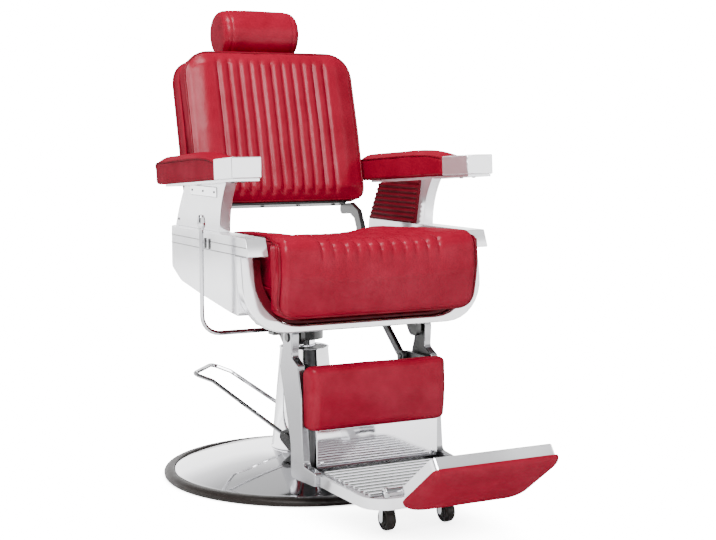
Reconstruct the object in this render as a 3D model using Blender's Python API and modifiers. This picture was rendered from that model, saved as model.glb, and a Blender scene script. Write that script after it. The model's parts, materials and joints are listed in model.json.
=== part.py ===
"""Hydraulic barber chair: round base, foot-pumped column, chrome tub with arm rests,
a reclining back with a head rest, and a leg rest that rises as the back goes down.

Metres, +Z up. The origin lies on the floor under the pump, and the chair faces -Y.
Left is -X, as seen from in front of the chair.
"""
import math

import bmesh
import bpy
from mathutils import Matrix, Vector

# Fits
FIT = 0.0003                # gap between pieces that touch
RUN = 0.0006                # radial gap of a turning or sliding fit

# Base
BASE_RADIUS = 0.330
RING_WIDTH = 0.024
RING_HEIGHT = 0.018
RING_WALL = 0.012           # rubber outside the edge of the floor plate
FLOOR_PLATE = 0.010
BASE_SHEET = 0.0025
BASE_TOP = 0.062            # height of the base cover at the pump
BASE_BORE = 0.070

# Pump
PUMP_RADIUS = 0.045
PUMP_HEIGHT = 0.285
PUMP_FLANGE = 0.064
PUMP_FLANGE_THICK = 0.012
PUMP_BORE_FLOOR = 0.060
SLEEVE_TOP_RADIUS = 0.057
SLEEVE_FOOT_RADIUS = 0.078
SLEEVE_TOP = 0.300
SLEEVE_SHEET = 0.002
GLAND_THICK = 0.011

# Pedal, in a frame turned about the pump
PEDAL_AZIMUTH = math.radians(139.9)
PEDAL_PIVOT = (0.020, 0.100)        # out from the pump axis, height
PEDAL_SPAN = 0.168                  # between the two rods at the hubs
PEDAL_END_SPAN = 0.136              # between them at the foot end
PEDAL_BEND = (0.203, 0.219)
PEDAL_END = (0.251, 0.2345)
PEDAL_ROD = 0.005
PEDAL_CORNER = 0.017
TRUNNION_RADIUS = 0.008
PEDAL_HUB_RADIUS = 0.016
PEDAL_HUB_THICK = 0.013

# Column
PISTON_RADIUS = 0.026
PISTON_SHOULDER = 0.335
SPIGOT_RADIUS = 0.018
SPIGOT_TOP = 0.380
WASHER_RADIUS = 0.030
WASHER_THICK = 0.003
HUB_RADIUS = 0.045
HUB_FLANGE = 0.060
HUB_FLANGE_THICK = 0.010
HUB_SKIRT = 0.318

# Tub
TUB_HALF = 0.288
TUB_BOTTOM = 0.384
TUB_FLOOR = 0.015
TUB_WALL = 0.029
TUB_CORNER = 0.095
TUB_FRONT = -0.330                  # front of the band at its bottom
TUB_LEAN = 0.170                    # how far the band leans back for each metre up
APRON_DEPTH = 0.030
RAIL_TOP = 0.585
RAIL_BOTTOM = 0.547
RAIL_INNER = 0.2425
RAIL_FRONT = -0.344
RAIL_REAR = 0.138
RAIL_TURN = 0.045                   # round of the tub's rear corners, seen from above
RAIL_RAKE = 0.016
LINER_WALL = 0.020
LINER_FLOOR = 0.010
LINER_TOP = 0.537
LINER_REAR = -0.130
LINER_SETBACK = 0.012
PLATE_HALF = 0.112
PLATE_THICK = 0.008
PLATE_FRONT = -0.285
PLATE_REAR = 0.072

# Arm rests
POST_INNER = 0.242
POST_OUTER = 0.267
POST_FRONT = -0.140
POST_FRONT_TOP = -0.178
POST_REAR = 0.129
POST_REAR_TOP = 0.068
ARM_SLOPE = math.radians(3.65)
ARM_JOINT = (-0.218, 0.7010)        # where pad and cap meet, on the under side
ARM_INNER = 0.247
ARM_OUTER = 0.3135
ARM_LENGTH = 0.411
ARM_TOE = 0.028                     # slope of the arms towards each other at the rear
ARM_THICK = 0.0435
ARM_CROWN = 0.0225
ARM_SHELF = 0.005
CAP_LENGTH = 0.105
CAP_HEIGHT = 0.0435
SHELF_INSET = 0.004
SHELF_LENGTH = 0.330
PANEL_THICK = 0.010
PANEL_RIBS = 9
PANEL_TOP_GAP = 0.003
PANEL_FRONT = -0.124
PANEL_FRONT_TOP = -0.151
PANEL_REAR = 0.121
PANEL_REAR_TOP = 0.058

# Seat
BOARD_HALF = 0.143
BOARD_THICK = 0.012
BOARD_FRONT = -0.315
BOARD_REAR = -0.045
SEAT_FRONT = -0.392
SEAT_REAR = -0.022
SEAT_TOP = 0.592
SEAT_HALF = 0.231                  # between the rails
SEAT_LIP_HALF = 0.241               # in front of the tub
SEAT_LIP_REAR = -0.350
SEAT_LIP_ROUND = 0.045
SEAT_HALF_REAR = 0.200
SEAT_DISH = 0.018
SEAT_TUCK = 0.014                   # how far the sides draw in
SEAT_FALL = 0.014                   # of the top from its front to its rear
SEAT_PLAY = 0.006                   # between the cushion and the round of the liner
SEAT_CHANNELS = 11
CHANNEL_PITCH = 0.0278
CHANNEL_DEPTH = 0.004

# Recline and leg rest linkage, (Y, Z) in the side view
RECLINE = (0.060, 0.500)
LEG_PIVOT = (-0.278, 0.368)
CRANK = (0.040, -0.0693)            # from either pivot to its end of the link
RECLINE_PIN = 0.010
RECLINE_BOSS = 0.019
BRACKET_INNER = 0.172
BRACKET_THICK = 0.012
BRACKET_WIDTH = 0.026
BRACKET_HUB = 0.024
CRANK_PIN = 0.008
LINK_INNER = 0.125
LINK_THICK = 0.010
LINK_WIDTH = 0.018
LINK_BOSS = 0.014
LUG_PIN = 0.006
LUG_INNER = 0.1384
LUG_THICK = 0.010
HANGER_INNER = 0.137
HANGER_THICK = 0.010
LEG_PIN = 0.009
LOCK_X = 0.105
LOCK_RADIUS = 0.010
LOCK_FRONT = -0.030
LOCK_REAR = 0.110
LOCK_ROD = 0.005
LOCK_PIN = 0.004
LOCK_EYE = 0.0065                   # half the length of pin that the rod's eye takes
LOCK_PIN_Y = -0.090
LOCK_SLOT = 0.0016                  # play of the link's pin in the slot of the lock rod
LINK_LEVEL = 0.3705                 # height of the link's level stretch
CRANK_SWING = 0.0110                # rise and fall of the links over the whole recline

# Recline lever
LEVER_GAP = 0.037                   # from the side panel to the middle of the rod
LEVER_X = -TUB_HALF - LEVER_GAP
LEVER_Y = -0.180
LEVER_Z = 0.372
LEVER_ROD = 0.005
LEVER_BEND = 0.040
LEVER_KNOB = 0.009
LEVER_KNOB_LENGTH = 0.032
LEVER_TOP = 0.627
LEVER_END = -0.146
LEVER_BLOCK = (0.018, 0.030)        # along the shaft, across it

# Back, in a frame leaned back about its lower front edge
BACK_EDGE = (0.105, 0.635)
BACK_LEAN = math.radians(14.5)
BACK_HALF = 0.220
BACK_HEIGHT = 0.366
BACK_CORNER = 0.065
BACK_PAD = 0.040
BACK_CROWN = 0.010
BACK_SHELL = 0.056
BACK_SHELL_ROUND = 0.012
BACK_RAIL = 0.007
BACK_RAIL_DEPTH = 0.040
SHELL_FOOT = 0.022                  # shell's lower edge above the cushion's
SHELL_FLARE = 0.0025                # shell beyond the cushion at each side

# Head rest, in the back's frame
HEAD_LENGTH = 0.200
HEAD_RADIUS = 0.052
HEAD_RISE = 0.072                   # bolster axis above the top of the back
HEAD_DEPTH = 0.068
HEAD_BAR = (0.040, 0.006)
HEAD_BAR_LENGTH = 0.190

# Leg rest
LEG_INNER = 0.153
LEG_THICK = 0.018
LEG_HEAD = 0.024
TOE_FRONT = -0.410
CALF_TOP = 0.315
CALF_BOTTOM = 0.181
CALF_HALF_TOP = 0.168
CALF_HALF_BOTTOM = 0.164
CALF_FRONT = -0.386
CALF_BOARD_REAR = -0.333
CALF_BOARD_THICK = 0.012
KICK_HALF = 0.146
KICK_DEPTH = 0.022
KICK_SHEET = 0.002
FOOT_TOP = 0.0955
FOOT_SKIRT = 0.073
FOOT_DECK = 0.008
FOOT_WALL = 0.006
FOOT_HALF = 0.160
FOOT_REAR = -0.335
FOOT_FRONT = -0.636
FOOT_CORNER = 0.050
FOOT_RIBS = 10
RIB_FIRST = -0.400
RIB_LAST = -0.595
RIB_HALF = 0.143
RIB_WIDTH = 0.009
RIB_HEIGHT = 0.004

# Casters
CASTER_X = 0.069
CASTER_Y = -0.532
WHEEL_RADIUS = 0.0235
WHEEL_WIDTH = 0.023
WHEEL_LIFT = 0.001
AXLE_RADIUS = 0.004
FORK_CHEEK = 0.003
FORK_PLAY = 0.001
FORK_LENGTH = 0.030

# Flap, in a frame tilted up about its hinge
FLAP_HINGE = (-0.632, 0.108)
FLAP_TILT = math.radians(36.0)
FLAP_NEAR = 0.050
FLAP_FAR = 0.214
FLAP_HALF = 0.134
FLAP_TOP = -0.0214
FLAP_DEPTH = 0.0242
FLAP_FLOOR = 0.004
FLAP_WALL = 0.004
FLAP_CORNER = 0.012                 # of the pan's far corners
FLAP_HIP = 0.036                    # of its corners at the hinge
FLAP_CROWN = 0.030
FLAP_LIP = 0.004                    # pad beyond the edge of its pan
FLAP_LUG_INNER = 0.052
FLAP_LUG_THICK = 0.020
FLAP_LUG_RADIUS = 0.011
FLAP_PIN = 0.0045
FLAP_EAR_THICK = 0.016

FINISHES = {
    "chrome": ((0.80, 0.80, 0.82), 0.12, 1.0),
    "aluminium": ((0.62, 0.62, 0.64), 0.30, 1.0),
    "black_steel": ((0.02, 0.02, 0.02), 0.45, 0.6),
    "bronze": ((0.45, 0.28, 0.10), 0.35, 1.0),
    "rubber": ((0.015, 0.014, 0.014), 0.60, 0.0),
    "red_vinyl": ((0.42, 0.02, 0.03), 0.38, 0.0),
    "dark_vinyl": ((0.16, 0.01, 0.02), 0.45, 0.0),
    "plywood": ((0.35, 0.24, 0.14), 0.70, 0.0),
}

for old in list(bpy.data.objects):
    bpy.data.objects.remove(old, do_unlink=True)

PARTS = bpy.data.collections.new("barber_chair")
TOOLS = bpy.data.collections.new("cutters")
bpy.context.scene.collection.children.link(PARTS)
bpy.context.scene.collection.children.link(TOOLS)

TO_YZ = Matrix(((0, 0, 1, 0), (1, 0, 0, 0), (0, 1, 0, 0), (0, 0, 0, 1)))
TO_XZ = Matrix(((1, 0, 0, 0), (0, 0, -1, 0), (0, 1, 0, 0), (0, 0, 0, 1)))
TO_XY = Matrix.Identity(4)
UPRIGHT = Matrix.Identity(4)
SIDES = (("left", -1), ("right", 1))


def finish(name):
    """The Principled material of one finish, made on first use."""
    known = bpy.data.materials.get(name)
    if known:
        return known
    colour, roughness, metallic = FINISHES[name]
    made = bpy.data.materials.new(name)
    made.use_nodes = True
    shader = made.node_tree.nodes["Principled BSDF"]
    shader.inputs["Base Color"].default_value = (*colour, 1.0)
    shader.inputs["Roughness"].default_value = roughness
    shader.inputs["Metallic"].default_value = metallic
    made.diffuse_color = (*colour, 1.0)
    return made


def pivot(name, place):
    """An empty on a joint's axis that carries the pieces of one moving body."""
    empty = bpy.data.objects.new(name, None)
    empty.location = place
    empty.empty_display_size = 0.05
    PARTS.objects.link(empty)
    return empty


def add_mesh(mesh, matrix=UPRIGHT):
    """A new object for a mesh, placed by a matrix."""
    obj = bpy.data.objects.new("piece", mesh)
    TOOLS.objects.link(obj)
    obj.matrix_world = matrix
    return obj


def keep(obj, name, look, body):
    """Name a finished piece, give it its material and hang it on its body's pivot."""
    obj.name = name
    obj.data.name = name
    obj.data.materials.clear()
    obj.data.materials.append(finish(look))
    obj.data.shade_smooth()
    obj.data.set_sharp_from_angle(angle=math.radians(32))
    TOOLS.objects.unlink(obj)
    PARTS.objects.link(obj)
    obj.parent = body
    obj.matrix_parent_inverse = Matrix.Translation(body.location).inverted()
    return obj


def tool(obj):
    """Hide an operand of a Boolean."""
    obj.hide_render = True
    obj.display_type = "WIRE"
    return obj


def boolean(obj, other, operation):
    """Cut from, or join to, a piece."""
    step = obj.modifiers.new(operation.lower(), "BOOLEAN")
    step.operation = operation
    step.object = tool(other)
    step.solver = "EXACT"
    return obj


def cut(obj, other):
    return boolean(obj, other, "DIFFERENCE")


def join(obj, other):
    return boolean(obj, other, "UNION")


def soften(obj, width, segments=2, angle=40.0):
    """Round the edges of a piece."""
    step = obj.modifiers.new("bevel", "BEVEL")
    step.width = width
    step.segments = segments
    step.limit_method = "ANGLE"
    step.angle_limit = math.radians(angle)
    return obj


def box(low, high, matrix=UPRIGHT):
    """A block between two corners, in the given frame."""
    mesh = bpy.data.meshes.new("block")
    made = bmesh.new()
    bmesh.ops.create_cube(made, size=1.0)
    low = Vector(low)
    high = Vector(high)
    span = [abs(b - a) for a, b in zip(low, high)]
    bmesh.ops.scale(made, vec=span, verts=made.verts)
    bmesh.ops.translate(made, vec=(low + high) / 2, verts=made.verts)
    made.to_mesh(mesh)
    made.free()
    return add_mesh(mesh, matrix)


def drum(radius, start, end, steps=24, matrix=UPRIGHT):
    """A cylinder between two points, in the given frame."""
    start = Vector(start)
    axis = Vector(end) - start
    mesh = bpy.data.meshes.new("drum")
    made = bmesh.new()
    bmesh.ops.create_cone(made, cap_ends=True, segments=steps, radius1=radius, radius2=radius,
                          depth=axis.length)
    made.to_mesh(mesh)
    made.free()
    place = Matrix.Translation(start + axis / 2) @ axis.to_track_quat("Z", "Y").to_matrix().to_4x4()
    return add_mesh(mesh, matrix @ place)


def turned(profile, steps=32, matrix=UPRIGHT, closed=False):
    """A profile of (radius, height), run down its outer side, turned about the upright axis."""
    mesh = bpy.data.meshes.new("turned")
    last = len(profile) if closed else len(profile) - 1
    edges = [(i, (i + 1) % len(profile)) for i in range(last)]
    mesh.from_pydata([(radius, 0.0, height) for radius, height in profile], edges, [])
    obj = add_mesh(mesh, matrix)
    spin = obj.modifiers.new("screw", "SCREW")
    spin.angle = math.tau
    spin.steps = steps
    spin.render_steps = steps
    spin.use_merge_vertices = True
    spin.merge_threshold = 0.00001
    return obj


def baked(obj):
    """A piece as a plain welded mesh, with what shaped it gone."""
    graph = bpy.context.evaluated_depsgraph_get()
    mesh = bpy.data.meshes.new_from_object(obj.evaluated_get(graph))
    made = bmesh.new()
    made.from_mesh(mesh)
    bmesh.ops.remove_doubles(made, verts=made.verts, dist=0.000002)
    bmesh.ops.dissolve_limit(made, angle_limit=math.radians(0.5), verts=made.verts, edges=made.edges)
    made.to_mesh(mesh)
    made.free()
    new = add_mesh(mesh, obj.matrix_world.copy())
    bpy.data.objects.remove(obj, do_unlink=True)
    return new


def plate(outline, low, high, plane=TO_YZ, frame=UPRIGHT):
    """A flat outline given a thickness from low to high along the plane's normal."""
    curve = bpy.data.curves.new("outline", "CURVE")
    curve.dimensions = "2D"
    curve.fill_mode = "BOTH"
    curve.extrude = abs(high - low) / 2
    spline = curve.splines.new("POLY")
    spline.points.add(len(outline) - 1)
    for point, (u, v) in zip(spline.points, outline):
        point.co = (u, v, 0.0, 1.0)
    spline.use_cyclic_u = True
    obj = bpy.data.objects.new("outline", curve)
    TOOLS.objects.link(obj)
    obj.matrix_world = frame @ plane @ Matrix.Translation((0, 0, (low + high) / 2))
    bpy.context.view_layer.update()
    return baked(obj)


def rod(points, radius, resolution=2, matrix=UPRIGHT):
    """A round rod along a path."""
    curve = bpy.data.curves.new("rod", "CURVE")
    curve.dimensions = "3D"
    curve.bevel_depth = radius
    curve.bevel_resolution = resolution
    curve.use_fill_caps = True
    spline = curve.splines.new("POLY")
    spline.points.add(len(points) - 1)
    for point, place in zip(spline.points, points):
        point.co = (*place, 1.0)
    obj = bpy.data.objects.new("rod", curve)
    TOOLS.objects.link(obj)
    obj.matrix_world = matrix
    bpy.context.view_layer.update()
    return baked(obj)


def loft(rings, matrix=UPRIGHT):
    """A closed skin through rings of as many points each, with flat ends."""
    made = bmesh.new()
    rows = [[made.verts.new(point) for point in ring] for ring in rings]
    count = len(rows[0])
    for near, far in zip(rows, rows[1:]):
        for i in range(count):
            j = (i + 1) % count
            made.faces.new((near[i], near[j], far[j], far[i]))
    made.faces.new(rows[0])
    made.faces.new(rows[-1])
    bmesh.ops.recalc_face_normals(made, faces=made.faces)
    mesh = bpy.data.meshes.new("loft")
    made.to_mesh(mesh)
    made.free()
    return add_mesh(mesh, matrix)


def rounded(corners, steps=4):
    """A closed outline from corners (u, v, radius), each rounded by an arc."""
    points = []
    count = len(corners)
    for i, (u, v, radius) in enumerate(corners):
        here = Vector((u, v))
        if radius <= 0:
            points.append(here)
            continue
        before = corners[i - 1]
        after = corners[(i + 1) % count]
        back = Vector(before[:2]) - here
        ahead = Vector(after[:2]) - here
        half = back.angle(ahead) / 2
        room = min(back.length * (0.49 if before[2] > 0 else 0.98),
                   ahead.length * (0.49 if after[2] > 0 else 0.98))
        reach = min(radius / math.tan(half), room)
        back.normalize()
        ahead.normalize()
        centre = here + (back + ahead).normalized() * (reach / math.cos(half))
        first = here + back * reach - centre
        turn = first.angle_signed(here + ahead * reach - centre)
        for k in range(steps + 1):
            angle = -turn * k / steps
            points.append(centre + Matrix.Rotation(angle, 2) @ first)
    return points


def bow(start, end, sag, steps=8):
    """Points of a circular arc from start to end, bulging to the left of the way by sag."""
    start = Vector(start)
    end = Vector(end)
    chord = end - start
    side = Vector((-chord.y, chord.x)).normalized()
    points = []
    for k in range(steps + 1):
        share = k / steps
        points.append(start + chord * share + side * (4 * sag * share * (1 - share)))
    return points


def strap(path, width, steps=6):
    """The outline of a flat bar of one width along a path, with round ends."""
    path = [Vector(point) for point in path]
    half = width / 2
    ways = [(b - a).normalized() for a, b in zip(path, path[1:])]
    left = [Vector((-way.y, way.x)) for way in ways]
    sides = [left[0]]
    for one, two in zip(left, left[1:]):
        sides.append((one + two) / (1 + one.dot(two)))
    sides.append(left[-1])
    near = [point + side * half for point, side in zip(path, sides)]
    far = [point - side * half for point, side in zip(path, sides)]

    def cap(centre, first):
        return [centre + Matrix.Rotation(-math.pi * k / steps, 2) @ (first * half)
                for k in range(1, steps)]

    return near + cap(path[-1], left[-1]) + far[::-1] + cap(path[0], -left[0])


def plus(point, step):
    return (point[0] + step[0], point[1] + step[1])


def smooth_step(value):
    value = min(max(value, 0.0), 1.0)
    return value * value * (3 - 2 * value)


# Frames and pivots
PEDAL_FRAME = Matrix.Rotation(PEDAL_AZIMUTH, 4, "Z")
BACK_FRAME = Matrix.Translation((0, *BACK_EDGE)) @ Matrix.Rotation(-BACK_LEAN, 4, "X")
ARM_FRAME = Matrix.Translation((0, *ARM_JOINT)) @ Matrix.Rotation(-ARM_SLOPE, 4, "X")
FLAP_FRAME = Matrix.Translation((0, *FLAP_HINGE)) @ Matrix.Rotation(-FLAP_TILT, 4, "X")
WHEEL_Z = WHEEL_RADIUS + WHEEL_LIFT
CRANK_END = plus(RECLINE, CRANK)
LUG_END = plus(LEG_PIVOT, CRANK)
LOCK_Z = LINK_LEVEL - CRANK_SWING / 2

BASE = pivot("base", (0, 0, 0))
PEDAL = pivot("pedal", PEDAL_FRAME @ Vector((PEDAL_PIVOT[0], 0, PEDAL_PIVOT[1])))
COLUMN = pivot("column", (0, 0, PUMP_HEIGHT))
SEAT = pivot("seat_frame", (0, 0, PISTON_SHOULDER))
LEVER = pivot("recline_lever", (0, LEVER_Y, LEVER_Z))
LOCK = pivot("lock_rod", (LOCK_X, LOCK_PIN_Y, LOCK_Z))
BACK = pivot("back", (0, *RECLINE))
LINKS = pivot("links", (0, *CRANK_END))
LEGREST = pivot("leg_rest", (0, *LEG_PIVOT))
FLAP = pivot("flap", (0, *FLAP_HINGE))


def build_base():
    """Floor plate, rubber edge ring and domed chrome cover."""
    plate_edge = BASE_RADIUS - RING_WALL
    cover_edge = BASE_RADIUS - RING_WIDTH
    disc = drum(plate_edge - FIT, (0, 0, 0), (0, 0, FLOOR_PLATE), steps=56)
    keep(disc, "base_plate", "black_steel", BASE)

    seat = FLOOR_PLATE + FIT
    ring = turned([
        (cover_edge, RING_HEIGHT),
        (BASE_RADIUS - RING_WALL * 0.7, RING_HEIGHT * 0.86),
        (BASE_RADIUS, RING_HEIGHT * 0.50),
        (BASE_RADIUS - RING_WALL * 0.4, 0.0),
        (plate_edge, 0.0),
        (plate_edge, seat),
        (cover_edge, seat),
    ], steps=56, closed=True)
    keep(ring, "base_ring", "rubber", BASE)

    rim = cover_edge - FIT
    rim_height = RING_HEIGHT - BASE_SHEET
    arc = 5

    def dome(offset):
        rows = []
        for k in range(arc + 1):
            share = k / arc
            radius = BASE_BORE + (rim - offset - BASE_BORE) * share
            height = rim_height + (BASE_TOP - rim_height) * (1 - share ** 1.6)
            rows.append((radius, height - offset))
        return rows

    cover = turned(dome(0.0) + [(rim, seat), (rim - BASE_SHEET, seat)] + dome(BASE_SHEET)[::-1],
                   steps=56, closed=True)
    keep(cover, "base_cover", "chrome", BASE)


def sleeve_radius(height):
    """Outer radius of the tapered pump sleeve."""
    share = (height - BASE_TOP) / (SLEEVE_TOP - BASE_TOP)
    return SLEEVE_FOOT_RADIUS + (SLEEVE_TOP_RADIUS - SLEEVE_FOOT_RADIUS) * share


def build_pump():
    """Cast pump with its two trunnions, the tapered chrome sleeve and the rod gland."""
    bore = PISTON_RADIUS + RUN
    seat = FLOOR_PLATE + FIT
    body = turned([
        (0.0, PUMP_BORE_FLOOR),
        (bore, PUMP_BORE_FLOOR),
        (bore, PUMP_HEIGHT),
        (PUMP_RADIUS, PUMP_HEIGHT),
        (PUMP_RADIUS, seat + PUMP_FLANGE_THICK),
        (PUMP_FLANGE, seat + PUMP_FLANGE_THICK),
        (PUMP_FLANGE, seat),
        (0.0, seat),
    ])
    out, height = PEDAL_PIVOT
    tip = PEDAL_SPAN / 2 + PEDAL_HUB_THICK
    for side in (-1, 1):
        root = math.sqrt(PUMP_RADIUS ** 2 - out ** 2) - TRUNNION_RADIUS / 2
        stub = drum(TRUNNION_RADIUS, (out, side * root, height), (out, side * tip, height), 16, PEDAL_FRAME)
        join(body, stub)
    keep(body, "pump_cylinder", "black_steel", BASE)

    foot = BASE_TOP + FIT
    sleeve = turned([
        (SLEEVE_TOP_RADIUS - SLEEVE_SHEET, SLEEVE_TOP),
        (SLEEVE_TOP_RADIUS, SLEEVE_TOP),
        (sleeve_radius(foot), foot),
        (sleeve_radius(foot) - SLEEVE_SHEET, foot),
    ], steps=40, closed=True)
    reach = SLEEVE_FOOT_RADIUS * 1.2
    cut(sleeve, drum(TRUNNION_RADIUS + FIT, (out, -reach, height), (out, reach, height), 16, PEDAL_FRAME))
    keep(sleeve, "pump_sleeve", "chrome", BASE)

    low = PUMP_HEIGHT + FIT
    outer = SLEEVE_TOP_RADIUS - SLEEVE_SHEET - FIT
    gland = turned([
        (bore, low + GLAND_THICK),
        (outer, low + GLAND_THICK),
        (outer, low),
        (bore, low),
    ], steps=40, closed=True)
    keep(gland, "pump_gland", "rubber", BASE)


def build_pedal():
    """U-shaped foot bar with a black hub on each trunnion."""
    out, height = PEDAL_PIVOT
    half = PEDAL_SPAN / 2
    rise = (Vector(PEDAL_BEND) - Vector(PEDAL_PIVOT)).normalized()
    start = Vector(PEDAL_PIVOT) + rise * (PEDAL_HUB_RADIUS + FIT)
    side_path = [start, Vector(PEDAL_BEND) - rise * 0.012, Vector(PEDAL_BEND)]
    run = (Vector(PEDAL_END) - Vector(PEDAL_BEND)).normalized()
    side_path.append(Vector(PEDAL_BEND) + run * 0.012)
    end_half = PEDAL_END_SPAN / 2
    reach = PEDAL_BEND[0] - start.x
    path = [(r, half + (end_half - half) * min((r - start.x) / reach, 1.0), z) for r, z in side_path]
    turn_start = Vector(PEDAL_END) - run * PEDAL_CORNER
    for k in range(6):
        angle = math.pi / 2 * k / 5
        along = turn_start + run * (PEDAL_CORNER * math.sin(angle))
        path.append((along.x, end_half - PEDAL_CORNER * (1 - math.cos(angle)), along.y))
    path += [(x, -y, z) for x, y, z in path[::-1]]
    bar = rod(path, PEDAL_ROD, 2, PEDAL_FRAME)
    keep(bar, "pedal_bar", "chrome", PEDAL)

    tail = (out - PEDAL_HUB_RADIUS, height - PEDAL_HUB_RADIUS * 1.2)
    for name, side in (("front_pedal_hub", 1), ("rear_pedal_hub", -1)):
        low = side * half - PEDAL_HUB_THICK / 2
        hub = plate(strap([(out, height), tail], PEDAL_HUB_RADIUS * 2), -low - PEDAL_HUB_THICK, -low,
                    TO_XZ, PEDAL_FRAME)
        reach = side * half
        cut(hub, drum(TRUNNION_RADIUS + RUN, (out, reach - PEDAL_HUB_THICK, height),
                      (out, reach + PEDAL_HUB_THICK, height), 16, PEDAL_FRAME))
        keep(hub, name, "black_steel", PEDAL)


def build_column():
    """Piston rod with its top spigot, thrust washer and the seat's hub."""
    piston = turned([
        (0.0, SPIGOT_TOP),
        (SPIGOT_RADIUS, SPIGOT_TOP),
        (SPIGOT_RADIUS, PISTON_SHOULDER),
        (PISTON_RADIUS, PISTON_SHOULDER),
        (PISTON_RADIUS, PUMP_BORE_FLOOR + RUN),
        (0.0, PUMP_BORE_FLOOR + RUN),
    ])
    keep(piston, "piston_rod", "chrome", COLUMN)

    low = PISTON_SHOULDER + FIT
    bore = SPIGOT_RADIUS + RUN
    washer = turned([
        (bore, low + WASHER_THICK),
        (WASHER_RADIUS, low + WASHER_THICK),
        (WASHER_RADIUS, low),
        (bore, low),
    ], closed=True)
    keep(washer, "swivel_washer", "bronze", COLUMN)

    face = low + WASHER_THICK + FIT
    top = TUB_BOTTOM + TUB_FLOOR - PLATE_THICK - FIT
    hub = turned([
        (bore, top),
        (HUB_FLANGE, top),
        (HUB_FLANGE, top - HUB_FLANGE_THICK),
        (HUB_RADIUS, top - HUB_FLANGE_THICK),
        (HUB_RADIUS, HUB_SKIRT),
        (WASHER_RADIUS + 2 * RUN, HUB_SKIRT),
        (WASHER_RADIUS + 2 * RUN, face),
        (bore, face),
    ], steps=40, closed=True)
    keep(hub, "seat_hub", "black_steel", SEAT)


def u_outline(half, bottom, corner, wall, floor, top):
    """A U, seen from the front, with the sides' and the floor's own thickness."""
    return rounded([
        (-half, top, 0),
        (-half, bottom, corner),
        (half, bottom, corner),
        (half, top, 0),
        (half - wall, top, 0),
        (half - wall, bottom + floor, corner),
        (-half + wall, bottom + floor, corner),
        (-half + wall, top, 0),
    ], steps=8)


def lean(obj, foot, rate):
    """Shear a piece back by a rate for each metre above its foot."""
    shear = Matrix.Identity(4)
    shear[1][2] = rate
    local = obj.matrix_world
    place = Matrix.Translation((0, 0, foot))
    obj.data.transform(local.inverted() @ place @ shear @ place.inverted() @ local)
    return obj


def band_rear(height):
    """Where the rear of the leaning front band is at a height."""
    return TUB_FRONT + APRON_DEPTH + TUB_LEAN * (height - TUB_BOTTOM)


def build_tub():
    """Chrome front band, side panels with their top rails, red liner and the mounting plate."""
    band = plate(u_outline(TUB_HALF, TUB_BOTTOM, TUB_CORNER, TUB_WALL, TUB_FLOOR, RAIL_BOTTOM - FIT),
                 -TUB_FRONT - APRON_DEPTH, -TUB_FRONT, TO_XZ)
    lean(band, TUB_BOTTOM, TUB_LEAN)
    keep(band, "front_apron", "chrome", SEAT)

    inner = TUB_HALF - TUB_WALL
    side = [
        (band_rear(RAIL_BOTTOM + 0.010) + FIT, RAIL_BOTTOM + 0.010, 0),
        (band_rear(0.420) + FIT, 0.420, 0.008),
        (-0.245, 0.424, 0.10),
        (-0.072, 0.446, 0.15),
        (0.045, 0.464, 0.05),
        (RAIL_REAR - 0.006, 0.506, 0.05),
        (RAIL_REAR - 0.002, RAIL_BOTTOM + 0.010, 0),
    ]
    rail = [
        (RAIL_FRONT, RAIL_BOTTOM, 0.002),
        (RAIL_REAR - 0.002, RAIL_BOTTOM, 0),
        (RAIL_REAR - 0.006, RAIL_TOP, 0.004),
        (RAIL_FRONT + RAIL_RAKE, RAIL_TOP, 0.002),
    ]
    for name, sign in SIDES:
        low, high = sorted((sign * inner, sign * TUB_HALF))
        panel = plate(rounded(side, 5), low, high)
        low, high = sorted((sign * RAIL_INNER, sign * TUB_HALF))
        join(panel, plate(rounded(rail, 2), low, high))
        turn = rounded([(sign * TUB_HALF, RAIL_REAR, RAIL_TURN), (sign * TUB_HALF, RAIL_FRONT - 0.01, 0),
                        (sign * (RAIL_INNER - 0.01), RAIL_FRONT - 0.01, 0),
                        (sign * (RAIL_INNER - 0.01), RAIL_REAR, 0)], 8)
        boolean(panel, plate(turn, TUB_BOTTOM, RAIL_TOP + 0.01, TO_XY), "INTERSECT")
        keep(panel, name + "_side_panel", "chrome", SEAT)

    liner_bottom = TUB_BOTTOM + TUB_FLOOR + FIT
    liner_front = TUB_FRONT + LINER_SETBACK
    liner = plate(u_outline(inner - FIT, liner_bottom, TUB_CORNER, LINER_WALL, LINER_FLOOR, LINER_TOP),
                  -LINER_REAR, -liner_front, TO_XZ)
    lean(liner, liner_bottom, TUB_LEAN)
    keep(liner, "tub_liner", "dark_vinyl", SEAT)

    top = TUB_BOTTOM + TUB_FLOOR
    mount = box((-PLATE_HALF, PLATE_FRONT, top - PLATE_THICK), (PLATE_HALF, PLATE_REAR, top))
    soften(mount, 0.002, 1)
    keep(mount, "seat_plate", "black_steel", SEAT)


def post_top(depth):
    """Height of the under side of the arm's shelf at a place front to back."""
    return ARM_JOINT[1] - (depth - ARM_JOINT[0]) * math.tan(ARM_SLOPE) - ARM_SHELF - FIT


def arm_strip(sign, front, rear, inset):
    """The plan of a length of the arm, which draws in towards the rear."""
    inner = ARM_INNER + inset
    outer = ARM_OUTER - inset
    corners = ((inner, front), (outer, front), (outer, rear), (inner, rear))
    return [(sign * (x - ARM_TOE * (y + CAP_LENGTH)), y) for x, y in corners]


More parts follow.
